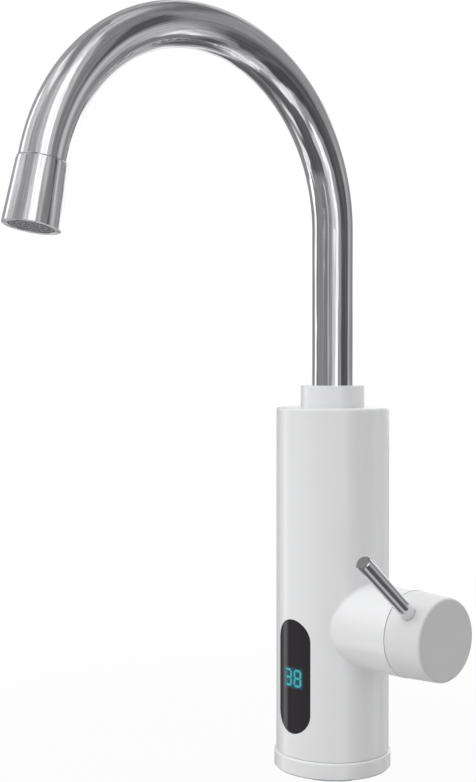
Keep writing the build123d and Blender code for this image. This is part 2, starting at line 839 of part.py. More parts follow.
with BuildPart() as spindle:
    turned(
        [
            (carrier_x, 0),
            (carrier_x, disc_r),
            (carrier_x + carrier_thick, disc_r),
            (carrier_x + carrier_thick, stem_r - running_gap),
            (stem_groove_x, stem_r - running_gap),
            (stem_groove_x, stem_r - 2 * stem_seal_r - running_gap),
            (stem_groove_x + stem_groove_w, stem_r - 2 * stem_seal_r - running_gap),
            (stem_groove_x + stem_groove_w, stem_r - running_gap),
            (clip_x, stem_r - running_gap),
            (clip_x, clip_groove_r),
            (clip_x + clip_thick, clip_groove_r),
            (clip_x + clip_thick, stem_r - running_gap),
            (stem_end_x, stem_r - running_gap),
            (stem_end_x, drive_r),
            (drive_end_x, drive_r),
            (drive_end_x, 0),
        ],
        valve_section,
        valve_axis,
    )
    # Two channels lead the water from the moving disc's ports to the rim
    with BuildSketch(valve_plane.offset(carrier_x)):
        with PolarLocations(disc_port_orbit - disc_port_r, 2, 180 - lever_angle):
            Rectangle(disc_r, 2 * disc_port_r, align=(Align.MIN, Align.CENTER))
    extrude(amount=carrier_thick / 2, mode=Mode.SUBTRACT)
    # The drive end's flat, which the lever's stud bears on
    with BuildSketch(lever_plane.offset(drive_flat)):
        with Locations(((stem_end_x + drive_end_x) / 2 - lever_x, 0)):
            Rectangle(drive_end_x - stem_end_x, 2 * drive_r)
    extrude(amount=drive_r, mode=Mode.SUBTRACT)

with BuildPart() as spindle_seal:
    with BuildSketch(valve_section):
        with Locations((stem_groove_x + stem_groove_w / 2, stem_r - running_gap - stem_seal_r)):
            Circle(stem_seal_r - running_gap / 2)
    revolve(axis=valve_axis)

with BuildPart() as spindle_clip:
    round_bar(valve_plane, clip_x, clip_x + clip_thick, clip_r, clip_groove_r)
    with BuildSketch(valve_plane.offset(clip_x)):
        with Locations((0, -clip_r)):
            Rectangle(clip_opening, clip_r)
    extrude(amount=clip_thick, mode=Mode.SUBTRACT)

with BuildPart() as bonnet_nut:
    round_bar(valve_plane, cartridge_shoulder_x + running_gap, valve_front_x, valve_bore_r - running_gap)
    with BuildSketch(valve_plane.offset(valve_front_x)):
        RegularPolygon(bonnet_across / 2, 6, major_radius=False)
    extrude(amount=bonnet_h)
    round_bar(valve_plane, cartridge_shoulder_x, valve_front_x + bonnet_h, neck_r + fit_gap, mode=Mode.SUBTRACT)

with BuildPart() as column_seals:
    with BuildSketch(Plane.XZ):
        with Locations((plug_r - spout_seal_r, housing_top_z + plug_h / 2)):
            Circle(spout_seal_r - running_gap)
    revolve(axis=Axis.Z)
    with BuildSketch(Plane.XZ):
        with Locations((port_x + spigot_r - spout_seal_r, (spigot_low_z + port_top_z) / 2)):
            Circle(spout_seal_r - running_gap)
    revolve(axis=Axis((port_x, 0, 0), (0, 0, 1)))

# Heating tank

with BuildPart() as tank_shell:
    turned(
        [
            (0, tank_low_z),
            (tank_r, tank_low_z),
            (tank_r, tank_flange_z - tank_flange_h),
            (tank_flange_r, tank_flange_z - tank_flange_h),
            (tank_flange_r, tank_flange_z),
            (0, tank_flange_z),
        ]
    )
    fillet(tank_shell.edges().group_by(Axis.Z)[0], tank_edge_r)
    turned(
        [
            (0, tank_low_z + tank_wall),
            (tank_bore_r, tank_low_z + tank_wall),
            (tank_bore_r, tank_flange_z),
            (0, tank_flange_z),
        ],
        mode=Mode.SUBTRACT,
    )
    round_bar(port_plane, spigot_low_z, tank_low_z, spigot_r)
    round_bar(
        port_plane,
        (spigot_low_z + port_top_z) / 2 - spout_seal_r,
        (spigot_low_z + port_top_z) / 2 + spout_seal_r,
        spigot_r,
        spigot_r - 2 * spout_seal_r,
        Mode.SUBTRACT,
    )
    round_bar(
        port_plane,
        spigot_low_z,
        tank_low_z + tank_wall,
        spigot_r - 3 * spout_seal_r,
        mode=Mode.SUBTRACT,
    )
    with BuildSketch(Plane.XY.offset(tank_low_z)):
        with Locations(coil_legs[0], coil_legs[-1]):
            Circle(coil_rod_r + running_gap)
    extrude(amount=tank_wall, mode=Mode.SUBTRACT)

with BuildPart() as tank_seal:
    round_bar(Plane.XY, tank_flange_z, lid_z, tank_flange_r - fit_gap, tank_bore_r)

with BuildPart() as tank_lid:
    turned(
        [
            (socket_bore_r, lid_z),
            (tank_flange_r, lid_z),
            (tank_flange_r, lid_top_z),
            (socket_r, lid_top_z),
            (socket_r, inner_top_z - shoulder_h),
            (shoulder_r, inner_top_z - shoulder_h),
            (shoulder_r, inner_top_z),
            (socket_r, inner_top_z),
            (socket_r, socket_top_z),
            (socket_bore_r, socket_top_z),
        ]
    )
    round_bar(probe_plane, lid_z, lid_top_z, probe_r + running_gap, mode=Mode.SUBTRACT)

with BuildPart() as tank_clamp_ring:
    clamp_low_z = tank_flange_z - tank_flange_h
    turned(
        [
            (tank_flange_r + running_gap, clamp_low_z - running_gap),
            (tank_r + fit_gap, clamp_low_z - running_gap),
            (tank_r + fit_gap, clamp_low_z - clamp_lip),
            (tank_flange_r + clamp_wall, clamp_low_z - clamp_lip),
            (tank_flange_r + clamp_wall, lid_top_z + clamp_lip),
            (tank_r + fit_gap, lid_top_z + clamp_lip),
            (tank_r + fit_gap, lid_top_z + running_gap),
            (tank_flange_r + running_gap, lid_top_z + running_gap),
        ]
    )
    with BuildSketch(Plane.XY.offset(clamp_low_z - clamp_lip)):
        with Locations((0, tank_flange_r)):
            Rectangle(clamp_split, tank_r / 2)
    extrude(amount=tank_flange_r, mode=Mode.SUBTRACT)

# The element is a sheathed rod, wound up and down the tank in hairpins, with its two ends
# out through the tank's floor
with BuildPart() as heating_coil:
    with BuildLine() as element:
        Line(coil_legs[0] + Vector(0, 0, coil_end_z), coil_legs[0] + Vector(0, 0, hairpin_high_z))
        for turn in range(len(coil_legs) - 1):
            this_leg, next_leg = coil_legs[turn], coil_legs[turn + 1]
            bend = (next_leg - this_leg).length / 2
            if turn % 2 == 0:
                centre_z, crown_z, far_z = hairpin_high_z, hairpin_high_z + bend, hairpin_low_z
            else:
                centre_z, crown_z, far_z = hairpin_low_z, hairpin_low_z - bend, hairpin_high_z
            if turn == len(coil_legs) - 2:
                far_z = coil_end_z
            ThreePointArc(
                this_leg + Vector(0, 0, centre_z),
                (this_leg + next_leg) / 2 + Vector(0, 0, crown_z),
                next_leg + Vector(0, 0, centre_z),
            )
            Line(next_leg + Vector(0, 0, centre_z), next_leg + Vector(0, 0, far_z))
    with BuildSketch(Plane.XY.offset(coil_end_z)):
        with Locations(coil_legs[0]):
            Circle(coil_rod_r)
    sweep(path=element.line)

with BuildPart() as heater_nuts:
    with BuildSketch(Plane.XY.offset(tank_low_z)):
        with Locations(coil_legs[0], coil_legs[-1]):
            RegularPolygon(heater_nut_r, 6)
            Circle(coil_rod_r + running_gap, mode=Mode.SUBTRACT)
    extrude(amount=-heater_nut_h)

with BuildPart() as heater_terminals:
    with BuildSketch(Plane.XY.offset(coil_end_z)):
        with Locations(coil_legs[0], coil_legs[-1]):
            Circle(terminal_r)
    extrude(amount=-terminal_h_pin)

with BuildPart() as thermal_cutout:
    with BuildSketch(Plane.XY.offset(tank_low_z)):
        with Locations(cutout_spot):
            Circle(cutout_r)
    extrude(amount=-cutout_h)
    with BuildSketch(Plane.XY.offset(tank_low_z - cutout_h)):
        with Locations(cutout_spot):
            with GridLocations(cutout_r, 1, 2, 1):
                Rectangle(cutout_blade[0], cutout_blade[1])
    extrude(amount=-cutout_blade[2])

with BuildPart() as temperature_sensor:
    round_bar(probe_plane, tank_flange_z - probe_depth, lid_top_z, probe_r)
    with BuildSketch(probe_plane.offset(lid_top_z)):
        RegularPolygon(probe_head_r, 6)
    extrude(amount=probe_head_h)

# Spout

with BuildPart() as swivel_ring:
    round_bar(Plane.XY, socket_top_z, socket_top_z + ring_thick, socket_r - fit_gap, socket_bore_r + fit_gap)

with BuildPart() as spout_connector:
    turned(
        [
            (connector_bore_r, connector_low_z),
            (socket_bore_r - running_gap, connector_low_z),
            (socket_bore_r - running_gap, flange_low_z),
            (connector_flange_r, flange_low_z),
            (connector_flange_r, flange_top_z),
            (spout_r - spout_wall - running_gap, flange_top_z),
            (spout_r - spout_wall - running_gap, connector_top_z),
            (connector_bore_r, connector_top_z),
        ]
    )
    for z in spout_seal_z:
        round_bar(
            Plane.XY,
            z - spout_seal_r,
            z + spout_seal_r,
            socket_bore_r,
            socket_bore_r - running_gap - 2 * spout_seal_r,
            Mode.SUBTRACT,
        )

with BuildPart() as spout_seals:
    with BuildSketch(Plane.XZ):
        with Locations(*[(socket_bore_r - running_gap - spout_seal_r, z) for z in spout_seal_z]):
            Circle(spout_seal_r - running_gap / 2)
    revolve(axis=Axis.Z)

with BuildPart() as spout_tube:
    with BuildLine(Plane.YZ):
        riser = Line((0, flange_top_z), (0, bend_low_z))
        bend = CenterArc((-bend_r, bend_low_z), bend_r, 0, bend_angle)
        Line(bend @ 1, bend @ 1 + (bend % 1) * nozzle_overlap)
    with BuildSketch(Plane.XY.offset(flange_top_z)):
        Circle(spout_r)
        Circle(spout_r - spout_wall, mode=Mode.SUBTRACT)
    sweep()

with BuildPart() as aerator_housing:
    turned(
        [
            (spout_r + running_gap, 0),
            (nozzle_band_r, 0),
            (nozzle_band_r, nozzle_band),
            (nozzle_root_r, nozzle_band),
            (nozzle_end_r, nozzle_length),
            (nozzle_mouth_r, nozzle_length),
            (nozzle_mouth_r, nozzle_length - nozzle_wall),
            (spout_r + running_gap, nozzle_length - nozzle_wall),
        ],
        nozzle_section,
        nozzle_axis,
    )

aerator_top = nozzle_overlap
screen_top = aerator_top + aerator_washer_thick
insert_top = screen_top + aerator_screen_thick

with BuildPart() as aerator_washer:
    round_bar(nozzle_plane, aerator_top, screen_top, spout_r - fit_gap, spout_r - 3 * spout_wall)

with BuildPart() as aerator_screen:
    round_bar(nozzle_plane, screen_top, insert_top, spout_r - fit_gap)
    with BuildSketch(nozzle_plane.offset(screen_top)):
        for ring in range(1, aerator_hole_rings + 1):
            with PolarLocations(ring * aerator_ring_step, 6 * ring):
                Circle(aerator_hole_r)
    extrude(amount=aerator_screen_thick, mode=Mode.SUBTRACT)

with BuildPart() as aerator_insert:
    turned(
        [
            (0, insert_top),
            (spout_r - fit_gap, insert_top),
            (spout_r - fit_gap, nozzle_length - nozzle_wall - running_gap),
            (nozzle_mouth_r - fit_gap, nozzle_length - nozzle_wall - running_gap),
            (nozzle_mouth_r - fit_gap, nozzle_length - aerator_recess),
            (0, nozzle_length - aerator_recess),
        ],
        nozzle_section,
        nozzle_axis,
    )
    with BuildSketch(nozzle_plane.offset(insert_top)):
        Circle(aerator_hole_r)
        for ring in range(1, aerator_hole_rings + 1):
            with PolarLocations(ring * aerator_ring_step, 6 * ring):
                Circle(aerator_hole_r)
    extrude(amount=nozzle_length, mode=Mode.SUBTRACT)

# Handle

with BuildPart() as knob_shell:
    turned(
        [
            (knob_root_x - knob_spigot_h, knob_bore_r),
            (knob_root_x - knob_spigot_h, spigot_outer_r),
            (knob_root_x, spigot_outer_r),
            (knob_root_x, knob_root_r),
            (knob_end_x, knob_end_r),
            (knob_end_x, 0),
            (knob_face_x, 0),
            (knob_face_x, knob_bore_r),
        ],
        valve_section,
        valve_axis,
    )
    fillet(knob_shell.edges().group_by(Axis.X)[-1], knob_edge_r)
    with BuildSketch(valve_plane.offset(hub_root_x)):
        Circle(hub_r)
    extrude(amount=knob_face_x - hub_root_x)
    with BuildSketch(valve_plane.offset(magnet_x)):
        with PolarLocations(knob_bore_r / 2, knob_rib_count, 45 + lever_angle):
            Rectangle(knob_bore_r, knob_rib)
        with Locations((0, magnet_orbit)):
            Circle(magnet_post_r)
    extrude(amount=knob_face_x - magnet_x)
    round_bar(valve_plane, hub_root_x, knob_face_x, insert_r, mode=Mode.SUBTRACT)
    with BuildSketch(valve_plane.offset(magnet_x)):
        with Locations((0, magnet_orbit)):
            Circle(magnet_r + running_gap)
    extrude(amount=magnet_thick + running_gap, mode=Mode.SUBTRACT)
    round_bar(lever_plane, 0, lever_seat, lever_stud_r + fit_gap, mode=Mode.SUBTRACT)
    round_bar(lever_plane, lever_seat, knob_root_r, lever_root_r + fit_gap, mode=Mode.SUBTRACT)

with BuildPart() as knob_insert:
    round_bar(valve_plane, hub_root_x, knob_face_x, insert_r - running_gap)
    with BuildSketch(valve_plane.offset(hub_root_x)):
        Circle(drive_r + running_gap)
    extrude(amount=drive_end_x - hub_root_x + fit_gap, mode=Mode.SUBTRACT)
    round_bar(lever_plane, 0, insert_r, lever_stud_r + fit_gap, mode=Mode.SUBTRACT)

with BuildPart() as lever_rod:
    round_bar(lever_plane, drive_flat + running_gap, lever_seat, lever_stud_r)
    with BuildSketch(lever_plane.offset(lever_seat)):
        Circle(lever_root_r)
    with BuildSketch(lever_plane.offset(lever_reach)):
        Circle(lever_tip_r)
    loft()
    chamfer(lever_rod.edges().sort_by_distance(lever_plane.origin)[-1], lever_chamfer)

with BuildPart() as sensor_magnet:
    with BuildSketch(valve_plane.offset(magnet_x)):
        with Locations((0, magnet_orbit)):
            Circle(magnet_r)
    extrude(amount=magnet_thick)

# One STEP file for each sub-part
pieces = {
    "body_shell": body_shell,
    "base_ring": base_ring,
    "base_screws": base_screws,
    "neck_collar": neck_collar,
    "boss_cover": boss_cover,
    "display_window": display_window,
    "display_board": display_board,
    "digit_module": digit_module,
    "display_screws": display_screws,
    "control_board": control_board,
    "board_screws": board_screws,
    "power_relay": power_relay,
    "mains_terminal_block": mains_terminal_block,
    "smoothing_capacitor": smoothing_capacitor,
    "controller_chip": controller_chip,
    "power_triac": power_triac,
    "reed_switch": reed_switch,
    "position_sensor": position_sensor,
    "cable_gland": cable_gland,
    "inlet_shank": inlet_shank,
    "inlet_strainer": inlet_strainer,
    "deck_gasket": deck_gasket,
    "deck_washer": deck_washer,
    "backing_washer": backing_washer,
    "mounting_nut": mounting_nut,
    "flow_housing": flow_housing,
    "flow_piston": flow_piston,
    "flow_spring": flow_spring,
    "valve_body": valve_body,
    "disc_seal": disc_seal,
    "fixed_disc": fixed_disc,
    "moving_disc": moving_disc,
    "cartridge_body": cartridge_body,
    "spindle": spindle,
    "spindle_seal": spindle_seal,
    "spindle_clip": spindle_clip,
    "bonnet_nut": bonnet_nut,
    "column_seals": column_seals,
    "tank_shell": tank_shell,
    "tank_seal": tank_seal,
    "tank_lid": tank_lid,
    "tank_clamp_ring": tank_clamp_ring,
    "heating_coil": heating_coil,
    "heater_nuts": heater_nuts,
    "heater_terminals": heater_terminals,
    "thermal_cutout": thermal_cutout,
    "temperature_sensor": temperature_sensor,
    "swivel_ring": swivel_ring,
    "spout_connector": spout_connector,
    "spout_seals": spout_seals,
    "spout_tube": spout_tube,
    "aerator_housing": aerator_housing,
    "aerator_washer": aerator_washer,
    "aerator_screen": aerator_screen,
    "aerator_insert": aerator_insert,
    "knob_shell": knob_shell,
    "knob_insert": knob_insert,
    "lever_rod": lever_rod,
    "sensor_magnet": sensor_magnet,
}

os.makedirs("parts", exist_ok=True)
for name, piece in pieces.items():
    piece.part.label = name
    export_step(piece.part, f"parts/{name}.step")
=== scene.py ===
"""Dresses the instant water heater tap and sets up the studio that it stands in.

The sizes are in metres. The origin is at the centre of the base's underside, the display and
the spout face -Y, and the knob's axis runs along +X.
"""

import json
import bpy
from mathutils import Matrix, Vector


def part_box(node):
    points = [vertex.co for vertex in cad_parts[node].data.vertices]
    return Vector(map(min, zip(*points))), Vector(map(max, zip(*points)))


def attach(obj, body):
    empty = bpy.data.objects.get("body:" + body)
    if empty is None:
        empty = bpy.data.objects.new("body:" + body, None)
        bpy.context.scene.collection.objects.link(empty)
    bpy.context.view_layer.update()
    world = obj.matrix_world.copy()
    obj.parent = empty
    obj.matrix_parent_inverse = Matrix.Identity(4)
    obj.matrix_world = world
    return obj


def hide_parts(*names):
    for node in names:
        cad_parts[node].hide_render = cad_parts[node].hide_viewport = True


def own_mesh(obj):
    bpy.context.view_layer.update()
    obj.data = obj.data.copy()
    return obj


bl_info = {
    "name": "Instant Water Heater Tap",
    "version": (1, 0, 0),
    "blender": (4, 5, 0),
    "location": "View3D > Sidebar > Heater Tap",
    "description": "Finishes, fine detail and studio for an instant water heater tap",
    "category": "Object",
}

from math import atan2, cos, pi, radians, sin, tau

import bmesh
import bpy
from bpy.props import (
    FloatProperty, FloatVectorProperty, IntProperty, PointerProperty, StringProperty
)
from bpy.types import NodeSocket, Operator, Panel, PropertyGroup
from mathutils import Vector

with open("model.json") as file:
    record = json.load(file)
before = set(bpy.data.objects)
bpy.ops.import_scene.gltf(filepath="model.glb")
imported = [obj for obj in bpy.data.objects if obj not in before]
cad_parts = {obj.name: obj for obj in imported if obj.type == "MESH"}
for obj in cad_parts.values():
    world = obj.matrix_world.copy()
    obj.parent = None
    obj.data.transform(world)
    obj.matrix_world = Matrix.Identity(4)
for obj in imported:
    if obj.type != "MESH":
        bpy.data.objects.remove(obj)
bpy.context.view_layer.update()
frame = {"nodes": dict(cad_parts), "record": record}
cad_nodes = frame["nodes"]
slot_of = {part["node"]: part["material_slot"] for part in frame["record"]["subparts"]}

MM = 0.001

# Edges sharper than this stay sharp in a piece with smooth shading
SHARP_ANGLE = radians(35)

# The shank's flange, the groove between its two threads, and its end's chamfer
FLANGE_LOW, FLANGE_HIGH = 4 * MM, 8 * MM
RELIEF_LOW, RELIEF_HIGH = -38 * MM, -36 * MM
SHANK_CHAMFER = 0.9 * MM
CREST_RADIUS = 10.4775 * MM  # over the crests of a G1/2 thread
RUN_OUT = 1 * MM  # plain part between the thread and the flange
BORE_GAP = 0.1 * MM  # between the shank's bore and the strainer

# Widths of the thread's ridge at its foot and at its crest, as shares of the pitch
RIDGE_FOOT, RIDGE_CREST = 0.92, 0.16

# The lit figures stand out of the window by a little, and start a little inside it
FIGURE_THICKNESS = 0.05 * MM
FIGURE_SINK = 0.01 * MM
FIGURE_GAP = 0.15  # between the ends of two segments, as a share of the stroke

# What is soldered on the control board, with its rows and columns of pins
SOLDERED = {
    "power_relay": (3, 2),
    "mains_terminal_block": (1, 3),
    "smoothing_capacitor": (1, 2),
    "controller_chip": (2, 8),
    "power_triac": (1, 3),
}
MODULE_PINS = 5  # in each of the digit module's two rows
PIN_INSET = 1.2 * MM  # of a row from the module's edge

# The studio's floor lies just under the worktop's level, with a hole where the tap stands
FLOOR_DROP = 0.1 * MM
FLOOR_LAP = 0.5 * MM
FLOOR_STEPS = 64

# The segments of a seven-segment figure that each digit lights
LIT_SEGMENTS = dict(
    zip("0123456789", "abcdef bc abdeg abcdg bcfg acdfg acdefg abc abcdefg abcdfg".split())
)

# Plain mouldings: colour, roughness, size and height of the grain, and unevenness
MOULDINGS = {
    "black_plastic": ((0.03, 0.03, 0.032), 0.45, 0.0008, 0.00001, 0.03),
    "grey_plastic": ((0.45, 0.45, 0.46), 0.42, 0.0008, 0.00001, 0.03),
    "digit_grey": ((0.12, 0.12, 0.13), 0.5, 0.0008, 0.00001, 0.03),
    # Painted shade: the aerator insert is a darker grey, standing in for the shade in the nozzle's
    # recess
    "aerator_grey": ((0.29, 0.29, 0.3), 0.5, 0.0008, 0.00001, 0.03),
    "grey_rubber": ((0.35, 0.35, 0.36), 0.75, 0.0005, 0.00003, 0.08),
    "black_rubber": ((0.03, 0.03, 0.03), 0.7, 0.0005, 0.00003, 0.1),
    "ceramic": ((0.85, 0.84, 0.80), 0.12, 0.0004, 0.000002, 0.02),
}

# What stands round the tap, as its gloss and polish see it: left and right edge in degrees to
# the right of the camera's side, low and high edge in degrees above the horizon, softness of the
# edges in degrees, and brightness. A later card stands in front of an earlier one.
STUDIO_CARDS = {
    "ceiling": (-190, 190, 70, 100, 6, 0.52),
    "left_wall": (-190, -120, 10, 60, 4, 0.38),
    "high_flag": (-155, -18, 63, 83, 5, 0.24),
    "left_scrim": (-116, -60, 50, 63, 6, 0.92),
    "left_haze": (-120, -66, 14, 50, 5, 0.64),
    "haze_end": (-66, -44, 18, 60, 6, 0.38),
    "left_strip": (-118.5, -103, -18, 40, 1.5, 1.25),
    "strip_foot": (-114, -84, -38, -19, 4, 0.95),
    "left_flag": (-103, -94, -18, 16, 3, 0.17),
    "front_low_flag": (-84, -3, -80, -25, 5, 0.11),
    "foot_spread": (-108, -68, -61, -49, 5, 0.86),
    "front_line": (-28, -21, -19, 15, 1.5, 0.50),
    "front_pole": (-56, -50, 3, 17, 2, 0.40),
    "front_gap": (-49, -29, -18, 17, 3, 0.22),
    "front_haze": (-44, -22, 26, 60, 5, 0.38),
    "front_glint": (-20, 3, 20, 62, 5, 0.66),
    "softbox_side": (-5.5, 14, -42, 8, 2.5, 0.62),
    "softbox": (1, 33, 5, 66, 2.5, 1.20),
    "softbox_low": (14, 30, -36, 6, 1.5, 1.20),
    "softbox_top": (-10, 42, 59, 78, 6, 0.80),
    "right_curtain": (30, 48, -50, 8, 4, 0.37),
    "curtain_high": (33, 51, 8, 62, 4, 0.50),
    "right_flag": (46, 73, -54, 10, 5, 0.08),
    "right_high_flag": (51, 88, 9, 70, 6, 0.25),
    "right_bar": (73, 85, -46, 40, 3, 0.10),
    "right_low": (106, 131, -52, -4, 4, 0.22),
    "low_bar": (131, 150, -40, -2, 4, 0.50),
    "right_wall": (106, 143, 0, 46, 5, 0.31),
    "right_strip": (90, 107, -38, 14, 4, 0.52),
    "strip_high": (87, 100, 14, 46, 4, 0.30),
    "right_spot": (101, 111, -37, -20, 3, 1.00),
    "right_shelf": (104, 130, -57, -44, 5, 0.10),
    "right_high": (92, 170, 47, 60, 5, 0.18),
    "back_light": (144, 190, -3, 20, 2, 1.16),
    "back_haze": (148, 190, 18, 48, 6, 0.58),
    "back_low": (142, 172, -24, -3, 4, 0.48),
    "back_flag": (147, 171, -55, -25, 5, 0.12),
    "back_strip": (171, 190, -16, 4, 4, 1.00),
    "strip_low": (173, 190, -58, -16, 5, 0.42),
    "back_left": (-190, -176, -55, 50, 4, 0.85),
    "back_left_glow": (-180, -161, -18, 4, 5, 0.88),
    "back_left_flag": (-172, -127, -62, -22, 6, 0.13),
    "floor_left": (-190, -15, -100, -66, 6, 0.12),
    "floor_front": (4, 47, -75, -47, 5, 0.92),
    "floor_right": (46, 190, -78, -57, 7, 0.58),
}

# Place, size and settings' name of the power of each lamp
LAMPS = {
    "key_lamp": ((-0.35, -1.25, 1.35), 1.2, "key_power"),
    "top_lamp": ((0.1, 0.1, 1.9), 1.4, "top_power"),
    "back_lamp": ((0.15, 1.5, 0.8), 1.2, "back_power"),
}
LAMP_AIM = (0, 0, 0.15)


# Settings


def color(name, description, default):
    return FloatVectorProperty(
        name=name, description=description, subtype="COLOR", size=3, min=0, max=1, default=default
    )


def length(name, description, default):
    return FloatProperty(name=name, description=description, unit="LENGTH", default=default)


def angle(name, description, degrees):
    return FloatProperty(
        name=name, description=description, unit="ROTATION", default=radians(degrees)
    )


def share(name, description, default, low=0):
    return FloatProperty(name=name, description=description, min=low, max=1, default=default)


def amount(name, description, default, low=0, unit="NONE"):
    return FloatProperty(name=name, description=description, min=low, unit=unit, default=default)


class CasingSettings(PropertyGroup):
    shell_color: color("Shell Colour", "Colour of the moulded casing", (0.86, 0.862, 0.87))
    knob_color: color("Knob Colour", "Colour of the moulded knob", (0.765, 0.765, 0.77))
    # Painted shade: the knob's flat end is coloured darker than the knob to stand in for the shade
    # that falls on it
    knob_face_shade_color: color(
        "Knob Face Shade Colour",
        "Colour of the knob's flat end, painted darker as shade",
        (0.62, 0.62, 0.62),
    )
    shell_roughness: share("Shell Roughness", "Roughness of the satin mouldings", 0.36)
    grain_size: length(
        "Grain Size", "Distance between the grains that the mould leaves on the plastic", 0.0006
    )
    grain_height: length("Grain Height", "Height of the moulded grain", 0.000006)


class MetalSettings(PropertyGroup):
    chrome_color: color(
        "Polished Colour", "Colour of the polished steel spout and nozzle", (0.86, 0.86, 0.875)
    )
    lever_color: color("Lever Colour", "Colour of the polished lever", (0.76, 0.76, 0.77))
    # Painted shade: the lever's end is coloured dark to stand in for the dark reflection on it
    lever_end_shade_color: color(
        "Lever End Shade Colour", "Colour of the lever's turned end, painted darker as shade", (0.34, 0.33, 0.33)
    )
    lever_rise: angle("Lever Rise", "Angle of the lever above the worktop", 40.7)
    steel_color: color("Drawn Colour", "Colour of the drawn stainless steel", (0.60, 0.60, 0.61))
    brass_color: color("Brass Colour", "Colour of the machined brass", (0.72, 0.53, 0.26))
    bend_radius: length(
        "Bend Radius", "Radius of the spout's bend, to the middle of the tube", 0.0924
    )
    bend_height: length("Bend Height", "Height at which the spout's bend starts", 0.2841)
    bend_angle: angle("Bend Angle", "Angle that the spout bends through", 168.3)
    line_height: length(
        "Line Height",
        "Height of the fine lines that drawing and polishing leave along the spout",
        0.00003,
    )
    tube_wave_height: length(
        "Tube Wave Height", "Height of the slow waves along the spout", 0.0003
    )
    ripple_height: length(
        "Ripple Height", "Height of the ripples on the inside of the spout's bend", 0.00035
    )
    rim_width: length("Rim Width", "Width of the rounded edge at the top of the nozzle", 0.0007)
    wave_size: length("Wave Size", "Distance between the faint waves in a polished piece", 0.012)
    wave_height: length("Wave Height", "Height of those waves", 0.00004)


class DisplaySettings(PropertyGroup):
    reading: StringProperty(
        name="Reading", description="Water temperature on the display, in degrees", default="38"
    )
    figure_height: length("Figure Height", "Height of a figure", 0.00914)
    figure_width: length("Figure Width", "Width of a figure", 0.0051)
    figure_step: length("Figure Step", "Distance between the centres of two figures", 0.0064)
    stroke: length("Stroke", "Width of a lit segment", 0.0012)
    figures_x: length(
        "Figures' Shift", "How far the figures stand to the right of the middle", 0.0003
    )
    figures_z: length("Figures' Height", "Height of the figures' centre above the worktop", 0.0508)
    lit_color: color("Lit Colour", "Colour of the lit segments", (0.04, 0.37, 0.41))
    glow_color: color("Glow Colour", "Colour of the glow round the figures", (0.0, 0.06, 0.085))
    glow_reach: length("Glow Reach", "How far the glow spreads from the figures", 0.0014)


class ThreadSettings(PropertyGroup):
    pitch: length("Pitch", "Pitch of the shank's pipe thread", 0.001814)
    depth: length("Depth", "Depth of the thread", 0.00116)
    steps: IntProperty(
        name="Steps", description="Straight steps in one turn of the thread", min=12, default=48
    )


class SpringSettings(PropertyGroup):
    turns: amount("Turns", "Turns of the flow piston's spring", 5.0, low=1)
    wire: length("Wire", "Width of the spring's square wire", 0.0009)
    steps: IntProperty(
        name="Steps", description="Straight steps in one turn of the spring", min=12, default=48
    )


class ScrewSettings(PropertyGroup):
    recess_width: share(
        "Recess Width",
        "Width of a slot of the cross recess, as a share of the head's radius",
        0.24,
        0.05,
    )
    recess_depth: share(
        "Recess Depth", "Depth of the cross recess, as a share of the head's height", 0.6, 0.05
    )


class StudioSettings(PropertyGroup):
    camera_place: FloatVectorProperty(
        name="Camera Place",
        description="Where the camera stands",
        subtype="TRANSLATION",
        unit="LENGTH",
        size=3,
        default=(0.4846, -0.5042, 0.21375),
    )
    camera_tilt: angle("Camera Tilt", "Angle between the view and straight down", 88.82)
    camera_turn: angle("Camera Turn", "Angle of the view round the upright axis", 48.0)
    focal_length: amount("Focal Length", "Focal length over a 36 mm sensor", 60.31, unit="CAMERA")
    floor_size: length("Floor Size", "Length of the floor's side", 12.0)
    floor_whiteness: share(
        "Floor Whiteness", "How far the camera sees the floor as white where the tap stands", 0.93
    )
    shadow_reach: length(
        "Shadow Reach", "Distance from the tap at which the floor is plain white", 0.45
    )
    surround: amount(
        "Surround", "Brightness behind the studio's cards, as polished metal sees it", 0.27
    )
    streaks: share(
        "Streaks", "Share by which the folds of the studio's cloth change its brightness", 0.7
    )
    ambient: amount("Ambient", "Brightness of the light that comes from all round", 0.61)
    key_power: amount(
        "Key Power", "Power of the large lamp above, on the camera's left", 16.0, unit="POWER"
    )
    back_power: amount("Back Power", "Power of the lamp behind the tap", 9.0, unit="POWER")
    top_power: amount("Top Power", "Power of the lamp overhead", 5.0, unit="POWER")


class TapSettings(PropertyGroup):
    casing: PointerProperty(type=CasingSettings)
    metal: PointerProperty(type=MetalSettings)
    display: PointerProperty(type=DisplaySettings)
    thread: PointerProperty(type=ThreadSettings)
    spring: PointerProperty(type=SpringSettings)
    screws: PointerProperty(type=ScrewSettings)
    studio: PointerProperty(type=StudioSettings)


# Node trees


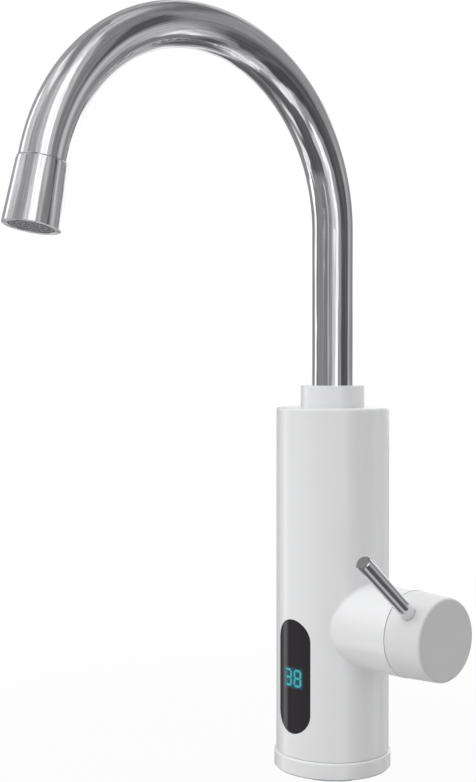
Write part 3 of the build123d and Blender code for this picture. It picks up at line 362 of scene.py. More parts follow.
class Tree:
    """Adds nodes to a tree. An input takes a value, or a socket that is linked to it."""

    def __init__(self, tree):
        self.tree = tree

    def fill(self, node, inputs):
        """Give a node's inputs their values. A list of sockets is linked in its order."""
        for key, value in inputs.items():
            for item in value if isinstance(value, list) else [value]:
                socket = node.inputs[key]
                if isinstance(item, NodeSocket):
                    self.tree.links.new(item, socket)
                elif socket.type == "RGBA":
                    socket.default_value = (*item, 1.0)
                else:
                    socket.default_value = item

    def node(self, kind, inputs=None, **settings):
        node = self.tree.nodes.new(kind)
        for name, value in settings.items():
            setattr(node, name, value)
        self.fill(node, inputs or {})
        return node

    def add(self, kind, inputs=None, **settings):
        """Add a node and return its first output."""
        return self.node(kind, inputs, **settings).outputs[0]

    def math(self, operation, *values, clamp=False):
        inputs = dict(enumerate(values))
        return self.add("ShaderNodeMath", inputs, operation=operation, use_clamp=clamp)

    def vector_math(self, operation, *values):
        """Add a Vector Math node and return its vector, or its number where it has one."""
        inputs = dict(enumerate(values))
        node = self.node("ShaderNodeVectorMath", inputs, operation=operation)
        return node.outputs["Value" if operation in {"LENGTH", "DOT_PRODUCT"} else "Vector"]

    def combine(self, x=0.0, y=0.0, z=0.0):
        return self.add("ShaderNodeCombineXYZ", {"X": x, "Y": y, "Z": z})

    def separate(self, vector):
        return self.node("ShaderNodeSeparateXYZ", {"Vector": vector}).outputs

    def place(self):
        return self.node("ShaderNodeTexCoord").outputs["Object"]

    def noise(self, vector, scale, detail=2.0, roughness=0.5):
        inputs = {"Vector": vector, "Scale": scale, "Detail": detail, "Roughness": roughness}
        return self.add("ShaderNodeTexNoise", inputs)

    def ease(self, value, start, end, low=0.0, high=1.0, shape="SMOOTHSTEP"):
        """Go smoothly from the low to the high result as the value goes from start to end."""
        inputs = {
            "Value": value, "From Min": start, "From Max": end, "To Min": low, "To Max": high
        }
        return self.add("ShaderNodeMapRange", inputs, interpolation_type=shape)

    def mix(self, factor, first, second):
        inputs = {"Factor": factor, "A": first, "B": second}
        return self.add("ShaderNodeMix", inputs, data_type="FLOAT")

    def mix_colors(self, factor, first, second):
        # The Mix node has a pair of inputs for each kind of value, and colours are the third
        inputs = {"Factor": factor, 6: first, 7: second}
        return self.node("ShaderNodeMix", inputs, data_type="RGBA").outputs[2]

    def mix_shaders(self, factor, first, second):
        return self.add("ShaderNodeMixShader", {0: factor, 1: first, 2: second})

    def shaded(self, color, value):
        return self.add("ShaderNodeHueSaturation", {"Color": color, "Value": value})

    def bump(self, height, distance):
        inputs = {"Height": height, "Distance": distance, "Strength": 1.0}
        return self.add("ShaderNodeBump", inputs)


class Group(Tree):
    """A node group with named inputs and outputs, which are numbers unless KINDS has them."""

    KINDS = {
        "Color": "Color",
        "Track Color": "Color",
        "Base Color": "Color",
        "Normal": "Vector",
        "Lines Across": "Vector",
        "Size": "Vector",
        "Turn": "Vector",
        "Steps": "Int",
        "Points": "Geometry",
        "Geometry": "Geometry",
        "Material": "Material",
    }

    def __init__(self, name, inputs, outputs, kind="ShaderNodeTree"):
        super().__init__(bpy.data.node_groups.new(name, kind))
        for in_out, names in (("INPUT", inputs), ("OUTPUT", outputs)):
            for socket in names:
                socket_type = "NodeSocket" + self.KINDS.get(socket, "Float")
                self.tree.interface.new_socket(socket, in_out=in_out, socket_type=socket_type)
        self.given = self.tree.nodes.new("NodeGroupInput").outputs
        self.result = self.tree.nodes.new("NodeGroupOutput")

    def give(self, outputs):
        """Set what the group puts out, and return it."""
        self.fill(self.result, outputs)
        return self.tree


class SurfaceGroup(Group):
    """An effect that several finishes use."""

    def __init__(self, name, *inputs):
        outputs = ("Base Color", "Roughness", "Normal")
        super().__init__(name, ("Color", "Roughness", *inputs), outputs)

    def gloss(self, swing, gain):
        return self.math("MULTIPLY_ADD", swing, gain, self.given["Roughness"], clamp=True)

    def finish(self, swing, tone_gain, gloss_gain, height, distance, tone=1.0):
        """End the group with a colour and a gloss that follow a swing round 0, and a bump."""
        value = self.math("MULTIPLY_ADD", swing, tone_gain, tone)
        return self.give(
            {
                "Base Color": self.shaded(self.given["Color"], value),
                "Roughness": self.gloss(swing, gloss_gain),
                "Normal": self.bump(height, distance),
            }
        )


class GeometryGroup(Group):
    """A group that makes one piece's shape."""

    def __init__(self, name, *inputs):
        super().__init__(name, (*inputs, "Material"), ("Geometry",), "GeometryNodeTree")

    def moved(self, geometry, **how):
        return self.add("GeometryNodeTransform", {"Geometry": geometry, **how})

    def on_points(self, instance, **inputs):
        inputs = {"Points": self.given["Points"], "Instance": instance, **inputs}
        return self.add("GeometryNodeInstanceOnPoints", inputs)

    def joined(self, *geometries):
        return self.add("GeometryNodeJoinGeometry", {"Geometry": list(geometries)})

    def realized(self, geometry):
        return self.add("GeometryNodeRealizeInstances", {"Geometry": geometry})

    def finish(self, geometry):
        inputs = {"Geometry": self.realized(geometry), "Material": self.given["Material"]}
        return self.give({"Geometry": self.add("GeometryNodeSetMaterial", inputs)})


# Effects that several finishes use


def moulded_grain_group():
    """Fine spark-eroded grain, and the slight unevenness of tone and gloss in a moulding."""
    group = SurfaceGroup("Moulded Grain", "Grain Size", "Grain Height", "Unevenness")
    place = group.place()
    grains = group.noise(place, group.math("DIVIDE", 1.0, group.given["Grain Size"]))
    clouds = group.noise(place, 40.0, 3.0)
    centred = group.math("SUBTRACT", clouds, 0.5)
    swing = group.math("MULTIPLY", centred, group.given["Unevenness"])
    return group.finish(swing, 1.0, 1.5, grains, group.given["Grain Height"])


def drawn_lines_group():
    """Fine lines that rolling, drawing or turning leaves on a metal, round or along the tap."""
    group = SurfaceGroup("Drawn Lines", "Lines Across", "Line Height", "Unevenness")
    stretched = group.vector_math("MULTIPLY", group.place(), group.given["Lines Across"])
    lines = group.noise(stretched, 1.0, 4.0, 0.7)
    centred = group.math("SUBTRACT", lines, 0.5)
    swing = group.math("MULTIPLY", centred, group.given["Unevenness"])
    return group.finish(swing, 1.0, 1.0, lines, group.given["Line Height"])


def polished_waves_group():
    """Faint waves and smears of a polished piece, which make its reflections waver."""
    group = SurfaceGroup("Polished Waves", "Wave Size", "Wave Height")
    place = group.place()
    waves = group.noise(place, group.math("DIVIDE", 1.0, group.given["Wave Size"]), 1.0)
    swing = group.math("SUBTRACT", group.noise(place, 180.0, 4.0), 0.5)
    return group.finish(swing, 0.05, 0.06, waves, group.given["Wave Height"])


def tube_polish_group():
    """Polish along the spout: fine drawing lines, slow waves, and the ripples that bending
    leaves on the inside of the bend. The tube's rise, its bend and its end are followed."""
    group = SurfaceGroup(
        "Tube Polish",
        "Bend Radius",
        "Bend Height",
        "Bend Angle",
        "Tube Radius",
        "Line Height",
        "Wave Height",
        "Ripple Height",
        "Rim Width",
    )
    given, math = group.given, group.math
    x, y, z = group.separate(group.place())
    ahead = math("ADD", y, given["Bend Radius"])
    above = math("SUBTRACT", z, given["Bend Height"])
    cosine, sine = math("COSINE", given["Bend Angle"]), math("SINE", given["Bend Angle"])
    span = math(
        "SQRT", math("ADD", math("MULTIPLY", ahead, ahead), math("MULTIPLY", above, above))
    )
    end_span = math("ADD", math("MULTIPLY", ahead, cosine), math("MULTIPLY", above, sine))
    past_end = math("SUBTRACT", math("MULTIPLY", above, cosine), math("MULTIPLY", ahead, sine))
    far_side = math("LESS_THAN", ahead, 0.0)
    at_end = math("MULTIPLY", math("GREATER_THAN", past_end, 0.0), far_side)
    on_rise = math("MULTIPLY", math("LESS_THAN", above, 0.0), math("SUBTRACT", 1.0, far_side))
    turn = math("ARCTAN2", above, ahead)
    along_bend = math("MULTIPLY", turn, given["Bend Radius"])
    along_end = math("MULTIPLY_ADD", given["Bend Angle"], given["Bend Radius"], past_end)

    def by_region(bend, rise, end):
        return group.mix(at_end, group.mix(on_rise, bend, rise), end)

    outward = math("SUBTRACT", by_region(span, ahead, end_span), given["Bend Radius"])
    along = by_region(along_bend, above, along_end)

    def tube_noise(around, lengthwise, detail):
        vector = group.combine(
            math("MULTIPLY", x, around),
            math("MULTIPLY", outward, around),
            math("MULTIPLY", along, lengthwise),
        )
        return group.noise(vector, 1.0, detail)

    lines = tube_noise(900.0, 6.0, 3.0)
    waves = tube_noise(95.0, 16.0, 2.0)
    ripples = tube_noise(170.0, 55.0, 1.0)
    # The ripples are on the bend's inside, from where it starts to a little past its top
    inside = group.ease(math("DIVIDE", outward, given["Tube Radius"]), 0.15, -0.75)
    bent = group.ease(turn, 0.0, 0.3)
    eased = group.ease(turn, 1.9, 1.3, low=0.15)
    crumpled = math("MULTIPLY", math("MULTIPLY", inside, bent), eased)
    rim = group.ease(past_end, 0.0, given["Rim Width"], -0.6, 0.0)
    height = math("MULTIPLY", math("MULTIPLY", rim, at_end), given["Rim Width"])
    height = math("MULTIPLY_ADD", lines, given["Line Height"], height)
    height = math("MULTIPLY_ADD", waves, given["Wave Height"], height)
    ripple_height = math("MULTIPLY", crumpled, given["Ripple Height"])
    height = math("MULTIPLY_ADD", ripples, ripple_height, height)
    return group.finish(math("SUBTRACT", lines, 0.5), 1.1, 0.08, height, 1.0, tone=0.99)


def board_tracks_group():
    """A circuit board's etched tracks, raised under its lacquer."""
    group = SurfaceGroup("Board Tracks", "Track Color", "Track Step", "Track Height")
    given = group.given
    rate = group.math("DIVIDE", 1.0, given["Track Step"])
    cells = group.add(
        "ShaderNodeTexVoronoi",
        {"Vector": group.place(), "Scale": group.math("MULTIPLY", rate, 0.3), "Randomness": 0.9},
        feature="F1",
        distance="MANHATTAN",
    )
    rings = group.math("SINE", group.math("MULTIPLY", cells, 26.0))
    tracks = group.math("GREATER_THAN", rings, 0.35)
    return group.give(
        {
            "Base Color": group.mix_colors(tracks, given["Color"], given["Track Color"]),
            "Roughness": group.gloss(tracks, -0.1),
            "Normal": group.bump(tracks, given["Track Height"]),
        }
    )


def studio_card_group():
    """A card with soft edges that stands in front of what is behind it."""
    group = Group(
        "Studio Card",
        ("Behind", "Across", "Up", "Left", "Right", "Low", "High", "Softness", "Brightness"),
        ("Brightness",),
    )
    given, math = group.given, group.math

    def past(value, edge):
        start = math("SUBTRACT", given[edge], given["Softness"])
        return group.ease(given[value], start, math("ADD", given[edge], given["Softness"]))

    wide = math("SUBTRACT", past("Across", "Left"), past("Across", "Right"))
    tall = math("SUBTRACT", past("Up", "Low"), past("Up", "High"))
    shown = math("MULTIPLY", wide, tall)
    return group.give({"Brightness": group.mix(shown, given["Behind"], given["Brightness"])})


# Finishes


def finish_named(name):
    return bpy.data.materials[name]


def fill_shader(material, inputs):
    """Give inputs of a material's Principled BSDF their values."""
    tree = material.node_tree
    Tree(tree).fill(tree.nodes["Principled BSDF"], inputs)


def new_finish(name, effect, values, shader):
    """Make a material whose Principled BSDF takes what an effect puts out and fixed values.
    The values are those of the effect's inputs, in their order."""
    material = bpy.data.materials.new(name)
    material.use_nodes = True
    fill_shader(material, shader)
    if effect:
        inputs = dict(enumerate(values))
        group = Tree(material.node_tree).node("ShaderNodeGroup", inputs, node_tree=effect)
        fill_shader(material, {output.name: output for output in group.outputs})
    return material


def make_finishes(settings):
    """Make materials named for the record's material slots, and those of single pieces."""
    for plain in bpy.data.materials:
        plain.name = "plain_" + plain.name
    casing, metal = settings.casing, settings.metal
    grain = (casing.grain_size, casing.grain_height, 0.012)
    mouldings = {
        "white_shell": (casing.shell_color, casing.shell_roughness, *grain),
        "white_knob": (casing.knob_color, casing.shell_roughness + 0.04, *grain),
        **MOULDINGS,
    }
    drawn = {
        "brushed_steel": (metal.steel_color, 0.32, (90.0, 90.0, 2400.0), 0.000004, 0.12),
        "brass": (metal.brass_color, 0.28, (1800.0, 60.0, 60.0), 0.000004, 0.12),
        "magnet_nickel": ((0.70, 0.69, 0.66), 0.22, (500.0, 500.0, 500.0), 0.000004, 0.12),
    }
    polished = {
        "polished_steel": (metal.chrome_color, 0.03, metal.wave_size, metal.wave_height),
        "lever_polish": (metal.lever_color, 0.08, metal.wave_size, metal.wave_height),
    }
    tube = {
        "spout_polish": (
            metal.chrome_color,
            0.035,
            metal.bend_radius,
            metal.bend_height,
            metal.bend_angle,
            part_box("spout_tube")[1].x,
            metal.line_height,
            metal.tube_wave_height,
            metal.ripple_height,
            metal.rim_width,
        )
    }
    board = {"circuit_board": ((0.03, 0.16, 0.08), 0.35, (0.06, 0.28, 0.14), 0.0012, 0.00003)}
    for effect, finishes, metallic in (
        (moulded_grain_group(), mouldings, 0.0),
        (drawn_lines_group(), drawn, 1.0),
        (polished_waves_group(), polished, 1.0),
        (tube_polish_group(), tube, 1.0),
        (board_tracks_group(), board, 0.0),
    ):
        for name, values in finishes.items():
            new_finish(name, effect, values, {"Metallic": metallic})
    fill_shader(finish_named("white_shell"), {"Coat Weight": 1.0, "Coat Roughness": 0.2})
    # Painted shade: the knob's flat end and the lever's end are coloured darker
    paint_end_shade(
        "white_knob", "knob_shell", (1, 0, 0), 1.2 * MM, casing.knob_color, casing.knob_face_shade_color
    )
    paint_end_shade(
        "lever_polish",
        "lever_rod",
        (0, -cos(metal.lever_rise), sin(metal.lever_rise)),
        0.3 * MM,
        metal.lever_color,
        metal.lever_end_shade_color,
    )


def paint_end_shade(finish, node, direction, depth, color, end_shade_color):
    """Paint shade on a CAD node's flat end: give it another, darker colour, down to a depth below
    it.
    """
    material_tree = finish_named(finish).node_tree
    effect = next(node for node in material_tree.nodes if node.type == "GROUP")
    tree = Tree(material_tree)
    direction = Vector(direction)
    end = max(vertex.co.dot(direction) for vertex in cad_nodes[node].data.vertices)
    height = tree.vector_math("DOT_PRODUCT", tree.place(), direction)
    # Painted shade: the mask that darkens the flat end
    reach = tree.ease(height, end - depth, end - depth / 12)
    tree.fill(effect, {"Color": tree.mix_colors(reach, color, end_shade_color)})


def paint(node, finish):
    """Give a CAD node a finish of its own."""
    materials = cad_nodes[node].data.materials
    materials.clear()
    materials.append(finish_named(finish))


def paint_slots(*slots):
    """Give each CAD node in these material slots the slot's finish."""
    for node, slot in slot_of.items():
        if slot in slots:
            paint(node, slot)


# Meshes


def finished_piece(name, mesh, finish, replaced=(), body="tap_body"):
    """Put a finished mesh in the scene at the origin and let it ride on a body."""
    mesh.name = name
    mesh.materials.clear()
    mesh.materials.append(finish_named(finish))
    piece = bpy.data.objects.new(name, mesh)
    bpy.context.scene.collection.objects.link(piece)
    mesh.shade_smooth()
    mesh.set_sharp_from_angle(angle=SHARP_ANGLE)
    if replaced:
        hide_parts(*replaced)
    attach(piece, body)
    return piece


def turned_mesh(name, outline, steps=96):
    """Turn a closed outline of (radius, height) points about the upright axis into a mesh."""
    shape = bmesh.new()
    rings = []
    for step in range(steps):
        turn = tau * step / steps
        rings.append([shape.verts.new((r * cos(turn), r * sin(turn), z)) for r, z in outline])
    for step in range(steps):
        here, there = rings[step], rings[(step + 1) % steps]
        for point in range(len(outline)):
            after = (point + 1) % len(outline)
            shape.faces.new((here[point], there[point], there[after], here[after]))
    bmesh.ops.recalc_face_normals(shape, faces=shape.faces)
    mesh = bpy.data.meshes.new(name)
    shape.to_mesh(mesh)
    shape.free()
    return mesh


def grown_mesh(name, tree, inputs, places=((0, 0, 0),), **flags):
    """Run a geometry tree on loose points and return the result as a plain mesh. A keyword
    gives the points an attribute."""
    points = bpy.data.meshes.new(name)
    points.from_pydata([tuple(place) for place in places], [], [])
    for attribute, values in flags.items():
        points.attributes.new(attribute, "FLOAT", "POINT").data.foreach_set("value", values)
    carrier = bpy.data.objects.new(name + "_carrier", points)
    bpy.context.scene.collection.objects.link(carrier)
    modifier = carrier.modifiers.new("Nodes", "NODES")
    modifier.node_group = tree
    for item in tree.interface.items_tree:
        if item.item_type == "SOCKET" and item.in_out == "INPUT" and item.name in inputs:
            modifier[item.identifier] = inputs[item.name]
    depsgraph = bpy.context.evaluated_depsgraph_get()
    made = bpy.data.meshes.new_from_object(carrier.evaluated_get(depsgraph), depsgraph=depsgraph)
    bpy.data.objects.remove(carrier)
    return made


def solid_boxes(node):
    """The lowest and highest corners of the separate solids in a CAD node."""
    shape = bmesh.new()
    shape.from_mesh(cad_nodes[node].data)
    bmesh.ops.remove_doubles(shape, verts=shape.verts, dist=1e-7)
    left, boxes = set(shape.verts), []
    while left:
        corners, edge_of_island = [], [left.pop()]
        while edge_of_island:
            vert = edge_of_island.pop()
            corners.append(vert.co.copy())
            for link in vert.link_edges:
                other = link.other_vert(vert)
                if other in left:
                    left.remove(other)
                    edge_of_island.append(other)
        low, high = (Vector(map(choose, zip(*corners))) for choose in (min, max))
        boxes.append((low, high))
    shape.free()
    return sorted(boxes, key=lambda pair: tuple(round(v, 6) for v in pair[0]))


def spread(low, high, count):
    """Places between two edges, evenly spaced."""
    return [low + (step + 0.5) / count * (high - low) for step in range(count)]


# Geometry trees


def screws_group():
    """Cross-head screws, one on each point, with their heads up unless they are turned."""
    sizes = (
        "Head Radius",
        "Head Height",
        "Shaft Radius",
        "Shaft Length",
        "Recess Width",
        "Recess Depth",
    )
    group = GeometryGroup("Cross-Head Screws", "Points", *sizes, "Turn")
    math = group.math
    radius, height, shaft_radius, shaft_length, width, depth = map(group.given.get, sizes)
    recessed = group.add(
        "GeometryNodeMeshCone",
        {
            "Vertices": 32,
            "Side Segments": 3,
            "Radius Top": math("MULTIPLY", radius, 0.78),
            "Radius Bottom": radius,
            "Depth": height,
        },
    )
    across = math("MULTIPLY", radius, 1.15)
    slot_width = math("MULTIPLY", radius, width)
    slot_depth = math("MULTIPLY", height, depth)
    # One slot is a little deeper, because cutting two floors at one depth leaves open edges
    for first, second, gain in ((across, slot_width, 2.0), (slot_width, across, 2.3)):
        size = group.combine(first, second, math("MULTIPLY", slot_depth, gain))
        bar = group.add("GeometryNodeMeshCube", {"Size": size})
        placed = group.moved(bar, Translation=group.combine(z=height))
        inputs = {"Mesh 1": recessed, "Mesh 2": placed}
        recessed = group.add("GeometryNodeMeshBoolean", inputs, operation="DIFFERENCE")
    shaft = group.add(
        "GeometryNodeMeshCone",
        {
            "Vertices": 20,
            "Radius Top": shaft_radius,
            "Radius Bottom": math("MULTIPLY", shaft_radius, 0.7),
            "Depth": shaft_length,
        },
    )
    drop = group.combine(z=math("MULTIPLY", shaft_length, -1.0))
    screw = group.joined(recessed, group.moved(shaft, Translation=drop))
    return group.finish(group.on_points(screw, Rotation=group.given["Turn"]))


def wound_bar_group():
    """A bar wound up the tap's axis from the start height, such as a thread's ridge or a
    spring's wire. Its section is widest on the inside."""
    group = GeometryGroup(
        "Wound Bar",
        "Geometry",
        "Radius",
        "Pitch",
        "Inner Width",
        "Outer Width",
        "Height",
        "Start",
        "Length",
        "Steps",
    )
    given = group.given
    spiral = group.add(
        "GeometryNodeCurveSpiral",
        {
            "Resolution": given["Steps"],
            "Rotations": group.math("DIVIDE", given["Length"], given["Pitch"]),
            "Start Radius": given["Radius"],
            "End Radius": given["Radius"],
            "Height": given["Length"],
        },
    )
    section = group.add(
        "GeometryNodeCurvePrimitiveQuadrilateral",
        {
            "Bottom Width": given["Inner Width"],
            "Top Width": given["Outer Width"],
            "Height": given["Height"],
            "Offset": 0.0,
        },
        mode="TRAPEZOID",
    )
    swept = group.add(
        "GeometryNodeCurveToMesh",
        {
            "Curve": group.add("GeometryNodeSetCurveNormal", {"Curve": spiral}, mode="Z_UP"),
            "Profile Curve": group.moved(section, Rotation=(0.0, 0.0, -pi / 2)),
            "Fill Caps": True,
        },
    )
    return group.finish(group.moved(swept, Translation=group.combine(z=given["Start"])))


def segments_group():
    """Lit segments, one on each point, laid on the window's curve. The points' attribute
    upright is 1 for a segment that stands and 0 for one that lies."""
    group = GeometryGroup(
        "Lit Segments",
        "Points",
        "Length Lying",
        "Length Upright",
        "Stroke",
        "Thickness",
        "Window Radius",
    )
    given, math = group.given, group.math
    hexagon = group.add("GeometryNodeMeshCircle", {"Vertices": 6, "Radius": 1.0}, fill_type="NGON")
    upright = group.add("GeometryNodeInputNamedAttribute", {"Name": "upright"}, data_type="FLOAT")
    position = group.add("GeometryNodeInputPosition")
    # The hexagon's points become a bar with pointed ends, in units of the stroke
    x, y, z = group.separate(position)
    width = math("MULTIPLY", y, 0.5 / sin(pi / 3))
    bars = []
    for size, turn, comparison in (
        ("Length Lying", 0.0, "LESS_THAN"), ("Length Upright", pi / 2, "GREATER_THAN")
    ):
        ratio = math("DIVIDE", given[size], given["Stroke"])
        straight = math("MULTIPLY_ADD", ratio, 0.5, -1.0)
        reach = math("MULTIPLY", math("SIGN", x), math("ADD", math("ABSOLUTE", x), straight))
        inputs = {"Geometry": hexagon, "Position": group.combine(reach, z=width)}
        bars.append(
            group.on_points(
                group.add("GeometryNodeSetPosition", inputs),
                Selection=math(comparison, upright, 0.5),
                Rotation=(0.0, turn, 0.0),
                Scale=given["Stroke"],
            )
        )
    real = group.realized(group.joined(*bars))
    # Each bar is cut up so that it can bend, and laid on the window
    fine = group.add("GeometryNodeTriangulate", {"Mesh": real})
    split = group.add("GeometryNodeSubdivideMesh", {"Mesh": fine, "Level": 2})
    x, y, z = group.separate(position)
    radius = given["Window Radius"]
    square = math("SUBTRACT", math("MULTIPLY", radius, radius), math("MULTIPLY", x, x))
    on_window = group.combine(x, math("MULTIPLY", math("SQRT", square), -1.0), z)
    laid = group.add("GeometryNodeSetPosition", {"Geometry": split, "Position": on_window})
    raised = group.add(
        "GeometryNodeExtrudeMesh",
        {
            "Mesh": laid,
            "Offset": (0.0, -1.0, 0.0),
            "Offset Scale": given["Thickness"],
            "Individual": False,
        },
        mode="FACES",
    )
    whole = group.joined(raised, group.add("GeometryNodeFlipFaces", {"Mesh": laid}))
    inputs = {"Geometry": whole, "Distance": 0.000001}
    return group.finish(group.add("GeometryNodeMergeByDistance", inputs))


def dots_group():
    """Flattened solder dots, one on each point."""
    group = GeometryGroup("Solder Dots", "Points", "Size")
    ball = group.add("GeometryNodeMeshIcoSphere", {"Radius": 0.5, "Subdivisions": 2})
    return group.finish(group.on_points(ball, Scale=group.given["Size"]))


# Operators


def make_screws(settings, node, axis, outward, head_share):
    """Replace a CAD node's plain screws with cross-head ones that lie where they do. Their
    heads point outward, 1 or -1 along the axis, and are a share of their radius high."""
    boxes = solid_boxes(node)
    low, high = boxes[0]
    head_r = max(high[side] - low[side] for side in range(3) if side != axis) / 2
    head_h = head_r * head_share
    length = high[axis] - low[axis]
    places = []
    for low, high in boxes:
        place = (low + high) / 2
        tip = high[axis] if outward > 0 else low[axis]
        place[axis] = tip - outward * head_h
        places.append(place)
    turns = {(2, -1): (pi, 0, 0), (1, 1): (-pi / 2, 0, 0), (1, -1): (pi / 2, 0, 0)}
    inputs = {
        "Head Radius": head_r,
        "Head Height": head_h,
        "Shaft Radius": head_r * 0.5,
        "Shaft Length": length - head_h,
        "Recess Width": settings.screws.recess_width,
        "Recess Depth": settings.screws.recess_depth,
        "Turn": turns[axis, outward],
        "Material": finish_named("brushed_steel"),
    }
    mesh = grown_mesh(node, bpy.data.node_groups["Cross-Head Screws"], inputs, places)
    finished_piece("cross_head_" + node, mesh, "brushed_steel", [node])


class HEATERTAP_OT_casing(Operator):
    """Finish the moulded casing, its base ring, its collar and the cable gland"""

    bl_idname = "heater_tap.casing"
    bl_label = "Finish Casing"

    def execute(self, context):
        paint_slots("white_shell", "grey_rubber")
        make_screws(context.scene.heater_tap, "base_screws", 2, -1, 0.5)
        return {"FINISHED"}


class HEATERTAP_OT_display(Operator):
    """Make the smoked window and the lit figures"""

    bl_idname = "heater_tap.display"
    bl_label = "Make Display"

    def execute(self, context):
        display = context.scene.heater_tap.display
        self.smoke_window(display)
        paint("display_window", "smoked_window")
        self.light_segments(display)
        stroke = display.stroke
        half_w = (display.figure_width - stroke) / 2
        half_h = (display.figure_height - stroke) / 2
        spots = {
            "a": (0, half_h, 0),
            "b": (half_w, half_h / 2, 1),
            "c": (half_w, -half_h / 2, 1),
            "d": (0, -half_h, 0),
            "e": (-half_w, -half_h / 2, 1),
            "f": (-half_w, half_h / 2, 1),
            "g": (0, 0, 0),
        }
        places, upright = [], []
        for count, figure in enumerate(display.reading):
            centre = (count - (len(display.reading) - 1) / 2) * display.figure_step
            centre += display.figures_x
            for segment in LIT_SEGMENTS.get(figure, ""):
                x, z, stands = spots[segment]
                places.append((centre + x, 0.0, display.figures_z + z))
                upright.append(stands)
        inputs = {
            "Length Lying": 2 * half_w - FIGURE_GAP * stroke,
            "Length Upright": half_h - FIGURE_GAP * stroke,
            "Stroke": stroke,
            "Thickness": FIGURE_THICKNESS,
            "Window Radius": -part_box("display_window")[0].y - FIGURE_SINK,
            "Material": finish_named("lit_segments"),
        }
        mesh = grown_mesh("lit_figures", segments_group(), inputs, places, upright=upright)
        finished_piece("lit_figures", mesh, "lit_segments")
        return {"FINISHED"}

    def light_segments(self, display):
        """Light that is slightly uneven."""
        shader = {"Base Color": (0.01, 0.02, 0.02), "Roughness": 0.4, "Emission Strength": 1.0}
        material = new_finish("lit_segments", None, (), shader)
        tree = Tree(material.node_tree)
        flicker = tree.math("MULTIPLY_ADD", tree.noise(tree.place(), 900.0), 0.2, 0.9)
        fill_shader(material, {"Emission Color": tree.shaded(display.lit_color, flicker)})

    def smoke_window(self, display):
        """Black gloss with a soft glow round the figures."""
        grain = bpy.data.node_groups["Moulded Grain"]
        values = ((0.024, 0.021, 0.024), 0.1, 0.004, 0.000004, 0.05)
        shader = {"Specular IOR Level": 0.42, "Emission Strength": 1.0}
        material = new_finish("smoked_window", grain, values, shader)
        tree = Tree(material.node_tree)
        half_w = (display.figure_step + display.figure_width) / 2
        # The distance from the figures' block, whichever way it lies
        centre = (display.figures_x, 0.0, display.figures_z)
        offset = tree.vector_math("SUBTRACT", tree.place(), centre)
        folded = tree.vector_math("ABSOLUTE", offset)
        outside = tree.vector_math("SUBTRACT", folded, (half_w, 1.0, display.figure_height / 2))
        distance = tree.vector_math(
            "LENGTH", tree.vector_math("MAXIMUM", outside, (0.0, 0.0, 0.0))
        )
        fade = tree.ease(distance, 0.0, display.glow_reach, 1.0, 0.0, "SMOOTHERSTEP")
        glow = tree.mix_colors(fade, (0.0, 0.0, 0.0), display.glow_color)
        fill_shader(material, {"Emission Color": glow})


class HEATERTAP_OT_electronics(Operator):
    """Finish the two boards and what is on them, with their screws and solder dots"""

    bl_idname = "heater_tap.electronics"
    bl_label = "Finish Electronics"

    def execute(self, context):
        settings = context.scene.heater_tap
        paint_slots("circuit_board", "black_plastic", "digit_grey")
        make_screws(settings, "display_screws", 1, 1, 0.7)
        make_screws(settings, "board_screws", 1, -1, 0.7)
        places = []
        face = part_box("control_board")[1].y
        for node, (rows, columns) in SOLDERED.items():
            low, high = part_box(node)
            for z in spread(low.z, high.z, rows):
                places += [(x, face, z) for x in spread(low.x, high.x, columns)]
        low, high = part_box("digit_module")
        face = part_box("display_board")[1].y
        for x in spread(low.x, high.x, MODULE_PINS):
            places += [(x, face, z) for z in (low.z + PIN_INSET, high.z - PIN_INSET)]
        inputs = {"Size": (0.0011, 0.0009, 0.0011), "Material": finish_named("magnet_nickel")}
        mesh = grown_mesh("solder_dots", dots_group(), inputs, places)
        finished_piece("solder_dots", mesh, "magnet_nickel")
        return {"FINISHED"}


def wound_bar(name, radius, pitch, widths, height, start, length, steps):
    inputs = {
        "Radius": radius,
        "Pitch": pitch,
        "Inner Width": widths[0],
        "Outer Width": widths[1],
        "Height": height,
        "Start": start,
        "Length": length,
        "Steps": steps,
        "Material": finish_named("brushed_steel"),
    }
    return grown_mesh(name, bpy.data.node_groups["Wound Bar"], inputs)


class HEATERTAP_OT_deck_fixing(Operator):
    """Make the threaded shank, and finish the washers, the gasket and the nut"""

    bl_idname = "heater_tap.deck_fixing"
    bl_label = "Make Deck Fixing"

    def execute(self, context):
        thread = context.scene.heater_tap.thread
        paint_slots("black_rubber", "grey_plastic")
        low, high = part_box("inlet_shank")
        crest_r = CREST_RADIUS
        root_r = crest_r - thread.depth
        bore_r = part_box("inlet_strainer")[1].x + BORE_GAP
        thread_high = FLANGE_LOW - RUN_OUT
        core = turned_mesh(
            "shank_core",
            [
                (bore_r, low.z),
                (crest_r - SHANK_CHAMFER - 0.2 * MM, low.z),
                (root_r, low.z + SHANK_CHAMFER),
                (root_r, thread_high),
                (crest_r, thread_high),
                (crest_r, FLANGE_LOW),
                (high.x, FLANGE_LOW),
                (high.x, FLANGE_HIGH),
                (crest_r, FLANGE_HIGH),
                (crest_r, high.z),
                (bore_r, high.z),
            ],
        )
        finished_piece("shank_core", core, "brushed_steel", ["inlet_shank"])
        widths = (thread.pitch * RIDGE_FOOT, thread.pitch * RIDGE_CREST)
        for name, start, end in (
            ("shank_thread_low", low.z + SHANK_CHAMFER, RELIEF_LOW),
            ("shank_thread_high", RELIEF_HIGH, thread_high),
        ):
            # The ridge's ends lie half its width inside
            start += thread.pitch / 2
            end -= thread.pitch / 2
            mesh = wound_bar(
                name,
                root_r,
                thread.pitch,
                widths,
                thread.depth * 2,
                start,
                end - start,
                thread.steps,
            )
            finished_piece(name, mesh, "brushed_steel")
        return {"FINISHED"}


